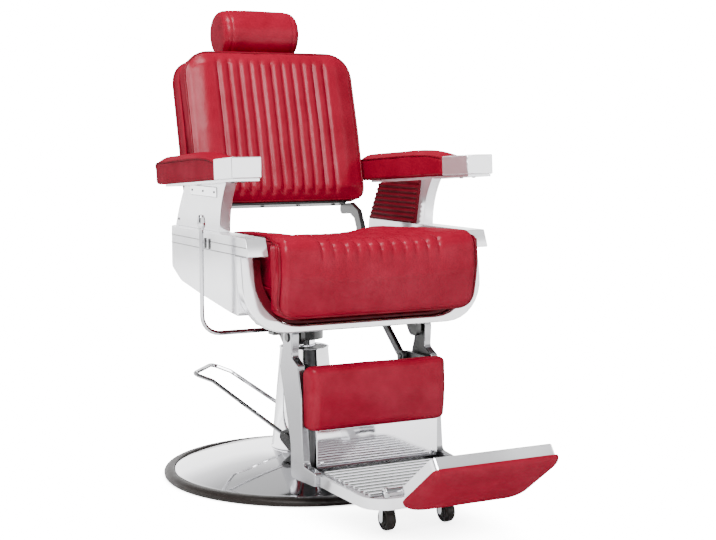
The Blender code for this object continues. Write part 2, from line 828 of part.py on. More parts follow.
def build_arms():
    """Arm posts with their ribbed panels, padded arm rests and chrome end caps."""
    foot = RAIL_TOP + FIT
    front = bow((POST_FRONT_TOP, post_top(POST_FRONT_TOP)), (POST_FRONT, foot), 0.010)
    rear = bow((POST_REAR, foot), (POST_REAR_TOP, post_top(POST_REAR_TOP)), -0.004)
    panel_top = post_top(PANEL_FRONT_TOP) - PANEL_TOP_GAP
    panel_rear_top = post_top(PANEL_REAR_TOP) - PANEL_TOP_GAP
    pitch = (panel_top - foot) / PANEL_RIBS
    for name, sign in SIDES:
        low, high = sorted((sign * POST_INNER, sign * POST_OUTER))
        post = plate(front + rear, low, high)
        strip = arm_strip(sign, -CAP_LENGTH + SHELF_INSET, SHELF_LENGTH, SHELF_INSET)
        shelf = plate(strip, -FIT - ARM_SHELF - 0.0005, -FIT, TO_XY, ARM_FRAME)
        join(post, shelf)
        keep(post, name + "_arm_post", "chrome", SEAT)

        face = POST_INNER - FIT
        edge = [(sign * face, foot)]
        for rib in range(PANEL_RIBS):
            base = foot + pitch * rib
            for k in range(5):
                share = k / 4
                swell = PANEL_THICK * (0.6 + 0.4 * math.sin(math.pi * share))
                edge.append((sign * (face - swell), base + pitch * (0.04 + 0.92 * share)))
        edge.append((sign * face, panel_top))
        ribbed = plate(edge, -PANEL_REAR, -PANEL_FRONT_TOP, TO_XZ)
        crop = plate([(PANEL_FRONT_TOP, panel_top), (PANEL_FRONT, foot - 0.01),
                      (PANEL_REAR, foot - 0.01), (PANEL_REAR_TOP, panel_rear_top)],
                     *sorted((sign * (face + 0.01), sign * (face - PANEL_THICK - 0.01))))
        keep(boolean(ribbed, crop, "INTERSECT"), name + "_post_panel", "dark_vinyl", SEAT)

        keep(arm_pad(sign), name + "_arm_pad", "red_vinyl", SEAT)

        cap = plate(arm_strip(sign, -CAP_LENGTH, -FIT, 0.0), 0.0, CAP_HEIGHT, TO_XY, ARM_FRAME)
        soften(cap, 0.0015, 1)
        keep(cap, name + "_arm_cap", "chrome", SEAT)


def arm_pad(sign):
    """A crowned pad on the arm, square against its cap and round at the rear."""
    rings = []
    middle = (ARM_INNER + ARM_OUTER) / 2
    for share in (0.0, 0.10, 0.25, 0.45, 0.70, 0.90, 0.96, 0.99, 1.0):
        crown = ARM_CROWN * smooth_step(share / 0.45)
        end = (max(share - 0.90, 0.0) / 0.10) ** 2.4
        half = (ARM_OUTER - ARM_INNER) / 2 * (1 - 0.32 * end)
        low = ARM_THICK * 0.16 * end
        high = ARM_THICK * (1 - 0.36 * end) + crown
        shoulder = high - 0.004 - 0.5 * crown
        outline = rounded([(-half, low, 0.006), (half, low, 0.006), (half, shoulder, 0.014),
                           (0.0, high, 0.06), (-half, shoulder, 0.014)], 3)
        along = ARM_LENGTH * share
        across = sign * (middle - ARM_TOE * (along + CAP_LENGTH))
        rings.append([(across + u, along, v) for u, v in outline])
    return loft(rings, ARM_FRAME)


def channel(place):
    """1 at a sewn line, 0 on the roll between two of them."""
    span = (SEAT_CHANNELS - 1) / 2 * CHANNEL_PITCH
    if abs(place) > span + CHANNEL_PITCH / 2:
        return 0.0
    return math.cos(math.pi * (place + span) / CHANNEL_PITCH) ** 2


def channel_stations(half, ends):
    """Places across a cushion: each sewn line, each roll, and closer ones at the ends."""
    span = (SEAT_CHANNELS - 1) / 2 * CHANNEL_PITCH
    count = 2 * (SEAT_CHANNELS - 1)
    places = [-span + CHANNEL_PITCH / 2 * k for k in range(count + 1)]
    outer = [half - gap for gap in ends]
    return [-x for x in outer[::-1]] + places + outer


def liner_floor(place):
    """Height of the liner's inner face at a place across the tub."""
    inner = TUB_HALF - TUB_WALL - FIT - LINER_WALL
    beyond = max(abs(place) - (inner - TUB_CORNER), 0.0)
    floor = TUB_BOTTOM + TUB_FLOOR + FIT + LINER_FLOOR
    return floor + TUB_CORNER - math.sqrt(max(TUB_CORNER ** 2 - beyond ** 2, 0.0))


def build_seat():
    """Seat board and its channelled cushion, with raised sides and a rolled front."""
    low = TUB_BOTTOM + TUB_FLOOR + LINER_FLOOR + 2 * FIT
    board = box((-BOARD_HALF, BOARD_FRONT, low), (BOARD_HALF, BOARD_REAR, low + BOARD_THICK))
    soften(board, 0.002, 1)
    keep(board, "seat_board", "plywood", SEAT)

    bottom = low + BOARD_THICK + FIT
    ends = (0.0, 0.012, 0.032, 0.060)[::-1]
    step = SEAT_HALF + 0.0015
    lip = [step + (SEAT_LIP_HALF - step) * share for share in (0.0, 0.5, 0.85, 1.0)]
    rings = []
    for place in [-x for x in lip[::-1]] + channel_stations(SEAT_HALF, ends) + lip:
        depth_in = SEAT_LIP_HALF - abs(place)
        rear = SEAT_REAR if abs(place) <= SEAT_HALF else SEAT_LIP_REAR
        tuck = SEAT_TUCK * (1 - smooth_step(depth_in / 0.030)) ** 2
        rise = smooth_step((abs(place) - 0.10) / 0.09)
        top = SEAT_TOP - SEAT_DISH * (1 - rise) - 1.4 * tuck
        groove = CHANNEL_DEPTH * channel(place)
        fall = SEAT_FALL if rear == SEAT_REAR else 0.0
        front = SEAT_FRONT + tuck
        foot = max(bottom, liner_floor(place) + SEAT_PLAY) + 0.5 * tuck
        beyond = max(abs(place) - (SEAT_LIP_HALF - SEAT_LIP_ROUND), 0.0)
        lip_foot = bottom - 0.006 + SEAT_LIP_ROUND - math.sqrt(max(SEAT_LIP_ROUND ** 2 - beyond ** 2, 0.0))
        lip_rear = min(BOARD_FRONT - 0.008, rear)
        outline = rounded([
            (rear, max(foot, lip_foot), 0.010),
            (rear, top - fall - groove, 0.022),
            ((rear + front) / 2, top - 0.001 - 0.35 * fall - groove, 0.30),
            (front + 0.006 + groove, top - groove, 0.062),
            (front + groove * 0.5, (top + lip_foot) / 2, 0.060),
            (front + 0.018, lip_foot, 0.020),
            (lip_rear - 0.006, lip_foot + 0.002, 0.004),
            (lip_rear - 0.002, max(foot, lip_foot) + 0.001, 0.004),
        ], 3)
        narrowing = 0.0 if rear == SEAT_LIP_REAR else SEAT_HALF_REAR / SEAT_HALF - 1
        ring = []
        for y, z in outline:
            share = smooth_step((y - SEAT_LIP_REAR) / (SEAT_REAR - SEAT_LIP_REAR))
            ring.append((place * (1 + narrowing * share), y, z))
        rings.append(ring)
    keep(loft(rings), "seat_cushion", "red_vinyl", SEAT)


def build_back():
    """Channelled back cushion, rear shell, bottom rail and the two black brackets."""
    ends = (0.0, 0.003, 0.012, 0.028, 0.050)[::-1]
    rings = []
    for place in channel_stations(BACK_HALF, ends):
        depth_in = BACK_HALF - abs(place)
        drop = 0.0
        if depth_in < BACK_CORNER:
            drop = BACK_CORNER - math.sqrt(BACK_CORNER ** 2 - (BACK_CORNER - depth_in) ** 2)
        tuck = 0.010 * (1 - smooth_step(depth_in / 0.030)) ** 2
        groove = CHANNEL_DEPTH * channel(place)
        crown = BACK_CROWN * smooth_step(depth_in / 0.060)
        top = BACK_HEIGHT - 0.85 * drop
        foot = 0.12 * drop + tuck * 0.5
        face = tuck + groove - crown
        outline = rounded([
            (BACK_PAD, foot, 0.003),
            (0.004 + tuck, foot, 0.010),
            (face, foot + 0.030, 0.030),
            (face - 0.004, (top + foot) / 2, 0.40),
            (face, top - 0.030, 0.030),
            (0.004 + tuck, top, 0.012),
            (BACK_PAD, top, 0.003),
        ], 3)
        rings.append([(place, y, s) for y, s in outline])
    keep(loft(rings, BACK_FRAME), "back_cushion", "red_vinyl", BACK)

    near = BACK_PAD + FIT
    far = near + BACK_SHELL
    inset = 0.004
    half = BACK_HALF + SHELL_FLARE
    shell = plate(rounded([(-half, SHELL_FOOT, 0.020), (half, SHELL_FOOT, 0.020),
                           (half, BACK_HEIGHT - inset, BACK_CORNER),
                           (-half, BACK_HEIGHT - inset, BACK_CORNER)], 6), -far, -near, TO_XZ, BACK_FRAME)
    soften(shell, BACK_SHELL_ROUND, 2)
    bar_half = HEAD_BAR[0] / 2 + RUN
    slot_floor = BACK_HEIGHT - HEAD_BAR_LENGTH
    slot = box((-bar_half, near - 0.01, slot_floor),
               (bar_half, near + HEAD_BAR[1] + 3 * FIT, BACK_HEIGHT + 0.01), BACK_FRAME)
    cut(shell, slot)
    keep(shell, "back_shell", "red_vinyl", BACK)

    rail_half = BRACKET_INNER - FIT
    rail = box((-rail_half, 0.008, -BACK_RAIL), (rail_half, 0.008 + BACK_RAIL_DEPTH, -FIT), BACK_FRAME)
    soften(rail, 0.002, 1)
    keep(rail, "back_rail", "black_steel", BACK)

    joint = BACK_FRAME @ Vector((0, 0.008 + BACK_RAIL_DEPTH / 2, -BRACKET_WIDTH / 2 - 0.003))
    path = [(joint.y + 0.012, joint.z - 0.003), (joint.y - 0.030, joint.z + 0.001),
            (RECLINE[0] + 0.008, RECLINE[1] + 0.100), (RECLINE[0] - 0.008, RECLINE[1] + 0.070),
            RECLINE, CRANK_END]
    for name, sign in SIDES:
        low, high = sorted((sign * BRACKET_INNER, sign * (BRACKET_INNER + BRACKET_THICK)))
        bracket = plate(strap(path, BRACKET_WIDTH), low, high)
        outer = sign * (BRACKET_INNER + BRACKET_THICK)
        join(bracket, drum(BRACKET_HUB, (sign * BRACKET_INNER, *RECLINE), (outer, *RECLINE)))
        join(bracket, drum(CRANK_PIN, (sign * (LINK_INNER - 0.005), *CRANK_END),
                           (sign * (BRACKET_INNER + BRACKET_THICK / 2), *CRANK_END), 16))
        cut(bracket, drum(RECLINE_PIN + RUN, (sign * (BRACKET_INNER - 0.01), *RECLINE),
                          (outer + sign * 0.01, *RECLINE)))
        keep(bracket, name + "_back_bracket", "black_steel", BACK)

        wall = sign * (TUB_HALF - TUB_WALL - FIT)
        pin = drum(RECLINE_PIN, (sign * (BRACKET_INNER - 0.004), *RECLINE), (wall, *RECLINE))
        join(pin, drum(RECLINE_BOSS, (outer + sign * RUN, *RECLINE), (wall, *RECLINE)))
        keep(pin, name + "_recline_pin", "chrome", SEAT)


def build_head_rest():
    """Round bolster on a flat bar that slides in the back's shell."""
    head = pivot("head_rest", BACK_FRAME @ Vector((0, HEAD_DEPTH, BACK_HEIGHT + HEAD_RISE)))
    rings = []
    centre = BACK_HEIGHT + HEAD_RISE
    half = HEAD_LENGTH / 2
    count = 20
    for gap in (0.0, 0.002, 0.008, 0.020, 0.050):
        rings.append((-half + gap, gap))
    rings.append((0.0, half))
    rings += [(-place, gap) for place, gap in rings[-2::-1]]
    skins = []
    for place, gap in rings:
        radius = HEAD_RADIUS * (0.80 + 0.20 * math.sqrt(1 - (1 - min(gap / 0.020, 1.0)) ** 2))
        radius += 0.002 * smooth_step(gap / half)
        skins.append([(place, HEAD_DEPTH + radius * math.cos(math.tau * k / count),
                       centre + radius * math.sin(math.tau * k / count)) for k in range(count)])
    bolster = loft(skins, BACK_FRAME)
    low = BACK_PAD + 2 * FIT
    bar_half = HEAD_BAR[0] / 2
    bar_foot = BACK_HEIGHT - HEAD_BAR_LENGTH + RUN
    socket = 0.022
    bar_top = centre - HEAD_RADIUS + socket
    cut(bolster, box((-bar_half - FIT, low - FIT, bar_foot),
                     (bar_half + FIT, low + HEAD_BAR[1] + FIT, bar_top + FIT), BACK_FRAME))
    keep(bolster, "head_cushion", "red_vinyl", head)
    bar = box((-bar_half, low, bar_foot), (bar_half, low + HEAD_BAR[1], bar_top), BACK_FRAME)
    keep(bar, "head_bar", "chrome", head)


def build_links():
    """Two cranked bars that tie the leg rest to the back."""
    path = [LUG_END, (-0.150, LINK_LEVEL), (-0.030, LINK_LEVEL), CRANK_END]
    for name, sign in SIDES:
        low, high = sorted((sign * LINK_INNER, sign * (LINK_INNER + LINK_THICK)))
        link = plate(strap(path, LINK_WIDTH), low, high)
        for end, bore in ((CRANK_END, CRANK_PIN + RUN), (LUG_END, LUG_PIN + 2 * RUN)):
            join(link, drum(LINK_BOSS, (low, *end), (high, *end), 20))
            cut(link, drum(bore, (low - 0.01, *end), (high + 0.01, *end), 16))
        if sign > 0:
            join(link, drum(LOCK_PIN, (LOCK_X - LOCK_EYE, LOCK_PIN_Y, LINK_LEVEL),
                            (LINK_INNER + LINK_THICK / 2, LOCK_PIN_Y, LINK_LEVEL), 16))
        keep(link, name + "_link", "black_steel", LINKS)


def build_lock():
    """Locking cylinder under the seat and its rod, slotted to ride on the right link's pin."""
    top = TUB_BOTTOM + TUB_FLOOR - PLATE_THICK - FIT
    foot_rear = PLATE_REAR - 0.012
    body = drum(LOCK_RADIUS, (LOCK_X, LOCK_FRONT, LOCK_Z), (LOCK_X, LOCK_REAR, LOCK_Z))
    join(body, box((LOCK_X - 0.006, foot_rear - 0.030, LOCK_Z), (LOCK_X + 0.006, foot_rear, top)))
    cut(body, drum(LOCK_ROD + RUN, (LOCK_X, LOCK_FRONT - 0.01, LOCK_Z),
                   (LOCK_X, LOCK_REAR - 0.008, LOCK_Z), 16))
    keep(body, "recline_lock_cylinder", "black_steel", SEAT)

    wall = 0.005
    wide = LOCK_PIN + LOCK_SLOT
    tall = CRANK_SWING / 2 + LOCK_PIN + LOCK_SLOT
    half = LOCK_EYE - 0.001
    front = LOCK_PIN_Y - wide
    rear = LOCK_PIN_Y + wide
    piston = drum(LOCK_ROD, (LOCK_X, rear + wall / 2, LOCK_Z), (LOCK_X, LOCK_REAR - 0.010, LOCK_Z), 16)
    eye = box((LOCK_X - half, front - wall, LOCK_Z - tall - wall),
              (LOCK_X + half, rear + wall, LOCK_Z + tall + wall))
    cut(eye, box((LOCK_X - 2 * half, front, LOCK_Z - tall), (LOCK_X + 2 * half, rear, LOCK_Z + tall)))
    keep(join(eye, piston), "recline_lock_rod", "chrome", LOCK)


def build_lever():
    """Recline lever at the left side, with its knob and the block that it turns in."""
    knob_foot = LEVER_TOP - LEVER_KNOB_LENGTH
    path = [(LEVER_X, LEVER_Y, knob_foot - FIT)]
    for k in range(7):
        angle = math.pi / 2 * k / 6
        path.append((LEVER_X + LEVER_BEND * (1 - math.cos(angle)), LEVER_Y,
                     LEVER_Z + LEVER_BEND * (1 - math.sin(angle))))
    path.append((LEVER_END, LEVER_Y, LEVER_Z))
    keep(rod(path, LEVER_ROD, 2), "lever_rod", "chrome", LEVER)

    knob = drum(LEVER_KNOB, (LEVER_X, LEVER_Y, knob_foot), (LEVER_X, LEVER_Y, LEVER_TOP), 20)
    soften(knob, 0.003, 2)
    keep(knob, "lever_knob", "chrome", LEVER)

    length, width = LEVER_BLOCK
    near = LEVER_END - 0.002
    block = box((near - length, LEVER_Y - width / 2, LEVER_Z - LEVER_ROD * 2.4),
                (near, LEVER_Y + width / 2, TUB_BOTTOM + TUB_FLOOR))
    cut(block, drum(LEVER_ROD + RUN, (near - 2 * length, LEVER_Y, LEVER_Z),
                    (near + length, LEVER_Y, LEVER_Z), 16))
    keep(block, "lever_bracket", "black_steel", SEAT)


def build_leg_rest():
    """Hangers, cast leg arms, calf board with its lugs, calf pad, kick plate and foot plate."""
    pivot_y, pivot_z = LEG_PIVOT
    top = TUB_BOTTOM + TUB_FLOOR
    boss = LEG_HEAD - 0.006
    hanger = rounded([
        (-0.222, top, 0), (-0.292, top, 0), (pivot_y - boss, pivot_z - boss, boss * 0.95),
        (pivot_y + boss, pivot_z - boss, boss * 0.95)], 5)
    arm = rounded([
        (pivot_y - LEG_HEAD, pivot_z + LEG_HEAD, 0.0235), (pivot_y + LEG_HEAD, pivot_z + LEG_HEAD, 0.0235),
        (-0.252, 0.345, 0.040), (-0.236, 0.300, 0.035), (-0.262, 0.225, 0.120), (-0.291, 0.140, 0.100),
        (-0.291, 0.066, 0.012), (-0.372, FOOT_SKIRT - 0.003, 0.020), (TOE_FRONT, FOOT_SKIRT, 0.006),
        (TOE_FRONT, FOOT_TOP + 0.005, 0.008), (-0.352, FOOT_TOP + 0.010, 0.012), (-0.3442, 0.175, 0.100),
        (-0.3425, 0.250, 0.080), (-0.326, 0.314, 0.010), (-0.296, 0.328, 0.012), (-0.298, 0.346, 0.012)], 4)
    for name, sign in SIDES:
        low, high = sorted((sign * HANGER_INNER, sign * (HANGER_INNER + HANGER_THICK)))
        hang = plate(hanger, low, high)
        pin_end = LEG_INNER + LEG_THICK + 0.003
        pin_start = HANGER_INNER + 0.002
        join(hang, drum(LEG_PIN, (sign * pin_start, *LEG_PIVOT), (sign * pin_end, *LEG_PIVOT), 20))
        keep(hang, name + "_leg_hanger", "black_steel", SEAT)

        low, high = sorted((sign * LEG_INNER, sign * (LEG_INNER + LEG_THICK)))
        leg = plate(arm, low, high)
        cut(leg, drum(LEG_PIN + RUN, (low - 0.01, *LEG_PIVOT), (high + 0.01, *LEG_PIVOT), 20))
        keep(leg, name + "_leg_arm", "chrome", LEGREST)

    half = LEG_INNER - FIT
    face = CALF_BOARD_REAR - CALF_BOARD_THICK
    board = box((-half, face, FOOT_TOP + FIT), (half, CALF_BOARD_REAR, CALF_TOP - 0.008))
    for _, sign in SIDES:
        low, high = sorted((sign * LUG_INNER, sign * (LUG_INNER + LUG_THICK)))
        lug = plate(strap([LUG_END, (CALF_BOARD_REAR + 0.010, LUG_END[1])], LINK_BOSS * 1.8), low, high)
        join(board, lug)
        join(board, drum(LUG_PIN, (sign * (LINK_INNER - 0.002), *LUG_END),
                         (sign * (LUG_INNER + LUG_THICK / 2), *LUG_END), 16))
    keep(board, "calf_board", "black_steel", LEGREST)
    keep(calf_pad(face - FIT), "calf_pad", "red_vinyl", LEGREST)

    front = face - FIT - KICK_DEPTH
    kick_top = CALF_BOTTOM - FIT
    kick = box((-KICK_HALF, front, FOOT_TOP + 0.003), (KICK_HALF, face - FIT, kick_top))
    cut(kick, box((-KICK_HALF + KICK_SHEET, front + KICK_SHEET, FOOT_TOP + 0.003 + KICK_SHEET),
                  (KICK_HALF - KICK_SHEET, face + 0.01, kick_top - KICK_SHEET)))
    keep(kick, "kick_plate", "chrome", LEGREST)
    build_foot_plate()


def calf_pad(rear):
    """A crowned pad with soft corners, a little narrower at its foot."""
    rings = []
    for share in (0.0, 0.015, 0.05, 0.11, 0.22, 0.5):
        rings.append(share)
    rings += [1 - share for share in rings[-2::-1]]
    skins = []
    for share in rings:
        edge = min(share, 1 - share)
        pinch = (1 - smooth_step(edge / 0.11)) ** 2
        front = CALF_FRONT + 0.020 * pinch
        top = CALF_TOP - 0.012 * pinch
        low = CALF_BOTTOM + 0.008 * pinch
        outline = rounded([(rear, low, 0.003), (rear, top, 0.006), (front + 0.010, top, 0.022),
                           (front, (top + low) / 2, 0.20), (front + 0.008, low, 0.012)], 4)
        ring = []
        for y, z in outline:
            lift = (z - CALF_BOTTOM) / (CALF_TOP - CALF_BOTTOM)
            half = CALF_HALF_BOTTOM + (CALF_HALF_TOP - CALF_HALF_BOTTOM) * lift
            ring.append((half * (2 * share - 1), y, z))
        skins.append(ring)
    return loft(skins)


def build_foot_plate():
    """Ribbed, skirted foot plate with the flap's lugs, cast in one."""
    wide = LEG_INNER - FIT
    step = TOE_FRONT - FIT
    shape = [
        (-wide, FOOT_REAR, 0), (wide, FOOT_REAR, 0), (wide, step, 0), (FOOT_HALF, step, 0.003),
        (FOOT_HALF, FOOT_FRONT, FOOT_CORNER), (-FOOT_HALF, FOOT_FRONT, FOOT_CORNER),
        (-FOOT_HALF, step, 0.003), (-wide, step, 0)]
    deck = plate(rounded(shape, 6), FOOT_SKIRT, FOOT_TOP, TO_XY)
    pocket_half = wide - FOOT_WALL
    pocket = plate(rounded([
        (-pocket_half, FOOT_REAR - FOOT_WALL, 0.004), (pocket_half, FOOT_REAR - FOOT_WALL, 0.004),
        (pocket_half, FOOT_FRONT + FOOT_WALL, FOOT_CORNER - FOOT_WALL),
        (-pocket_half, FOOT_FRONT + FOOT_WALL, FOOT_CORNER - FOOT_WALL)], 5),
        FOOT_SKIRT - 0.01, FOOT_TOP - FOOT_DECK, TO_XY)
    cut(deck, pocket)
    pitch = (RIB_LAST - RIB_FIRST) / (FOOT_RIBS - 1)
    for k in range(FOOT_RIBS):
        middle = RIB_FIRST + pitch * k
        near = middle + RIB_WIDTH / 2
        far = middle - RIB_WIDTH / 2
        crest = FOOT_TOP + RIB_HEIGHT
        rib = plate([(far, FOOT_TOP - 0.002), (near, FOOT_TOP - 0.002), (near, FOOT_TOP + RIB_HEIGHT * 0.4),
                     (middle + RIB_WIDTH * 0.25, crest), (middle - RIB_WIDTH * 0.25, crest),
                     (far, FOOT_TOP + RIB_HEIGHT * 0.4)], -RIB_HALF, RIB_HALF)
        join(deck, rib)
    for sign in (-1, 1):
        inner = sign * FLAP_LUG_INNER
        outer = sign * (FLAP_LUG_INNER + FLAP_LUG_THICK)
        root = (FLAP_HINGE[0] + 0.022, FOOT_TOP - 0.002)
        low, high = sorted((inner, outer))
        join(deck, plate(strap([root, FLAP_HINGE], FLAP_LUG_RADIUS * 2), low, high))
        tip = sign * (FLAP_LUG_INNER + FLAP_LUG_THICK + RUN + FLAP_EAR_THICK + 0.001)
        join(deck, drum(FLAP_PIN, (outer - sign * 0.004, *FLAP_HINGE), (tip, *FLAP_HINGE), 16))
    keep(deck, "foot_plate", "aluminium", LEGREST)


def build_casters():
    """Two fixed casters under the foot plate."""
    top = FOOT_TOP - FOOT_DECK - FIT
    gap = WHEEL_WIDTH / 2 + FORK_PLAY
    for name, sign in SIDES:
        middle = sign * CASTER_X
        outer = gap + FORK_CHEEK
        foot = WHEEL_Z - AXLE_RADIUS * 1.8
        legs = plate([
            (middle - outer, top), (middle - outer, foot), (middle - gap, foot),
            (middle - gap, top - FORK_CHEEK), (middle + gap, top - FORK_CHEEK), (middle + gap, foot),
            (middle + outer, foot), (middle + outer, top)],
            -CASTER_Y - FORK_LENGTH / 2, -CASTER_Y + FORK_LENGTH / 2, TO_XZ)
        trim = plate(strap([(CASTER_Y, top + 0.01), (CASTER_Y, WHEEL_Z)], AXLE_RADIUS * 3.6),
                     middle - 2 * outer, middle + 2 * outer)
        fork = boolean(legs, trim, "INTERSECT")
        join(fork, drum(AXLE_RADIUS, (middle - outer + 0.001, CASTER_Y, WHEEL_Z),
                        (middle + outer - 0.001, CASTER_Y, WHEEL_Z), 16))
        keep(fork, name + "_caster_fork", "chrome", LEGREST)

        half = WHEEL_WIDTH / 2
        bore = AXLE_RADIUS + RUN
        frame = Matrix.Translation((middle, CASTER_Y, WHEEL_Z)) @ Matrix.Rotation(math.pi / 2, 4, "Y")
        wheel = turned([
            (bore, half), (WHEEL_RADIUS * 0.5, half), (WHEEL_RADIUS * 0.6, half * 0.7),
            (WHEEL_RADIUS * 0.85, half * 0.9), (WHEEL_RADIUS, half * 0.45), (WHEEL_RADIUS, -half * 0.45),
            (WHEEL_RADIUS * 0.85, -half * 0.9), (WHEEL_RADIUS * 0.6, -half * 0.7),
            (WHEEL_RADIUS * 0.5, -half), (bore, -half)],
            steps=28, matrix=frame, closed=True)
        keep(wheel, name + "_wheel", "rubber", pivot(name + "_wheel_pivot", (middle, CASTER_Y, WHEEL_Z)))


def tray(inset):
    """The flap's outline, drawn in by an inset: round at the hinge, squarer at the far edge."""
    half = FLAP_HALF - inset
    far = -FLAP_FAR + inset
    near = -FLAP_NEAR - inset
    corner = FLAP_CORNER - inset
    hip = FLAP_HIP - inset
    return rounded([(-half, far, corner), (half, far, corner), (half, near, hip), (-half, near, hip)], 4)


def corner_loss(edge, radius):
    """How far a round corner falls short at a distance in from the side."""
    lack = max(radius - edge, 0.0)
    return radius - math.sqrt(radius ** 2 - lack ** 2)


def build_flap():
    """Chrome pan hinged at the front of the foot plate, padded on its under side."""
    low = FLAP_TOP - FLAP_DEPTH

    pan = plate(tray(0.0), low, FLAP_TOP, TO_XY, FLAP_FRAME)
    cut(pan, plate(tray(FLAP_WALL), low - 0.01, FLAP_TOP - FLAP_FLOOR, TO_XY, FLAP_FRAME))
    for sign in (-1, 1):
        near = FLAP_LUG_INNER + FLAP_LUG_THICK + RUN
        ear_low, ear_high = sorted((sign * near, sign * (near + FLAP_EAR_THICK)))
        ear_half = FLAP_LUG_RADIUS * 0.9
        root = (-FLAP_NEAR + ear_half - FLAP_WALL * 0.6, FLAP_TOP - FLAP_DEPTH * 0.48)
        path = [(0.0, 0.0), (-FLAP_NEAR * 0.5, FLAP_TOP * 0.55), root]
        join(pan, plate(strap(path, 2 * ear_half), ear_low, ear_high, TO_YZ, FLAP_FRAME))
        cut(pan, drum(FLAP_PIN + RUN, (ear_low - 0.005, 0, 0), (ear_high + 0.005, 0, 0), 16, FLAP_FRAME))
    keep(pan, "flap_pan", "chrome", FLAP)
    keep(flap_pad(low), "flap_pad", "red_vinyl", FLAP)


def flap_pad(rim):
    """A crowned pad under the pan, with a board that fills the pan."""
    gap = FLAP_WALL + 2 * FIT
    half = FLAP_HALF + FLAP_LIP
    top = rim - FIT
    shares = [0.0, 0.012, 0.045, 0.11, 0.22, 0.5]
    shares += [1 - share for share in shares[-2::-1]]
    rings = []
    for share in shares:
        edge = min(share, 1 - share)
        swell = FLAP_CROWN * (0.30 + 0.70 * smooth_step(edge / 0.22) ** 0.7)
        near = -FLAP_NEAR + FLAP_LIP - corner_loss(edge * 2 * half, FLAP_HIP + FLAP_LIP)
        far = -FLAP_FAR - FLAP_LIP + corner_loss(edge * 2 * half, FLAP_CORNER + FLAP_LIP)
        outline = rounded([(far, top, 0.003), (near, top, 0.003), (near, top - swell * 0.6, 0.012),
                           (near + (far - near) * 0.25, top - swell, 0.05),
                           (near + (far - near) * 0.75, top - swell, 0.05),
                           (far, top - swell * 0.6, 0.012)], 3)
        rings.append([(half * (2 * share - 1), y, z) for y, z in outline])
    pad = loft(rings, FLAP_FRAME)
    board = plate(tray(gap), top - 0.002, FLAP_TOP - FLAP_FLOOR - FIT, TO_XY, FLAP_FRAME)
    return join(pad, board)


build_base()
build_pump()
build_pedal()
build_column()
build_tub()
build_arms()
build_seat()
build_back()
build_head_rest()
build_links()
build_lock()
build_lever()
build_leg_rest()
build_casters()
build_flap()
bpy.context.view_layer.update()
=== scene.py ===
"""Barber chair: finished upholstery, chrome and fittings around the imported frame.

Metres, +Z up, the chair faces -Y and left is -X.
"""
import json
import math

import bmesh
import bpy
from bpy.props import FloatProperty, FloatVectorProperty, IntProperty, PointerProperty
from mathutils import Matrix, Vector, noise


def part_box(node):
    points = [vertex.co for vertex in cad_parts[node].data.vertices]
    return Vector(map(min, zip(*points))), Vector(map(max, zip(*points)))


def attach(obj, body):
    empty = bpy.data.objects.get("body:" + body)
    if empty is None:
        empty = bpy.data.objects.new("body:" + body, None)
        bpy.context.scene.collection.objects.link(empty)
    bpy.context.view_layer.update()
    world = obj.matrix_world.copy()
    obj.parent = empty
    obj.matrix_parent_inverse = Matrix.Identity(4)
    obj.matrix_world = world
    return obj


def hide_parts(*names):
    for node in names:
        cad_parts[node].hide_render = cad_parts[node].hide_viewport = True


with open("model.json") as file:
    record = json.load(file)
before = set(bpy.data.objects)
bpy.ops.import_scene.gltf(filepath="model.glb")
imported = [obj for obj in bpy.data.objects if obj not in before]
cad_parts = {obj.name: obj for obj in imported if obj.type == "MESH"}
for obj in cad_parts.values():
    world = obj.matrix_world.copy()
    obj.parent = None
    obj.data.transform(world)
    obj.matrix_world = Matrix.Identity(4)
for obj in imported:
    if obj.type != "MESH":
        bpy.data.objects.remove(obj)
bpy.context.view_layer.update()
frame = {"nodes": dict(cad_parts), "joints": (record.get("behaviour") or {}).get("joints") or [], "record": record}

bl_info = {
    "name": "Barber chair surfaces",
    "version": (1, 0, 0),
    "blender": (4, 5, 0),
    "location": "View3D > Sidebar > Chair",
    "description": "Upholstery, chrome and fittings for a hydraulic barber chair",
    "category": "Object",
}

NODES = frame["nodes"]
SLOT_OF = {part["node"]: part["material_slot"] for part in frame["record"]["subparts"]}
BODY_OF = {node: body for body, nodes in frame["record"]["behaviour"]["bodies"].items() for node in nodes}
JOINT = {joint["name"]: joint for joint in frame["joints"]}
SIDES = (("left", -1), ("right", 1))

# Slopes of the back, the arm rests and the flap
BACK_LEAN = math.atan2(JOINT["headrest_height"]["axis"][1], JOINT["headrest_height"]["axis"][2])
ARM_SLOPE = math.radians(3.65)
FLAP_TILT = math.radians(36.0)

# Photograph's camera
CAMERA_PLACE = (-1.423, -2.995, 0.816)
CAMERA_YAW = math.radians(-27.605)
CAMERA_PITCH = math.radians(90 - 5.826)
CAMERA_LENS = 71.6
SENSOR_WIDTH = 36.0

# Brightness of the white studio: as seen, as mirrored in chrome, and as it lights the covers
BACKDROP = 18.0
MIRRORED = 3.8
AMBIENT = 0.18
# What chrome mirrors: tones round the studio (azimuth in degrees), up to its zenith (height on the
# unit sphere) and outwards over the floor (metres)
ROUND = ((-180, 0.90), (-175, 0.10), (-130, 0.10), (-122, 1.0), (-32, 1.0), (-26, 0.12), (-12, 0.12),
         (-6, 0.95), (64, 1.0), (88, 1.0), (170, 0.90), (180, 0.90))
SKY = ((0.0, 1.0), (0.10, 1.0), (0.30, 0.94), (0.44, 0.45), (0.60, 0.20), (1.0, 0.12))
# The floor's tones are painted light: the floor glows at them for glossy rays only.
FLOOR = ((0.0, 0.16), (0.9, 0.26), (1.6, 0.55), (2.4, 0.95), (3.1, 0.85), (4.2, 1.0), (5.2, 0.85),
         (6.0, 0.50), (7.0, 0.46), (8.0, 0.60), (10.0, 1.0), (14.0, 1.0))


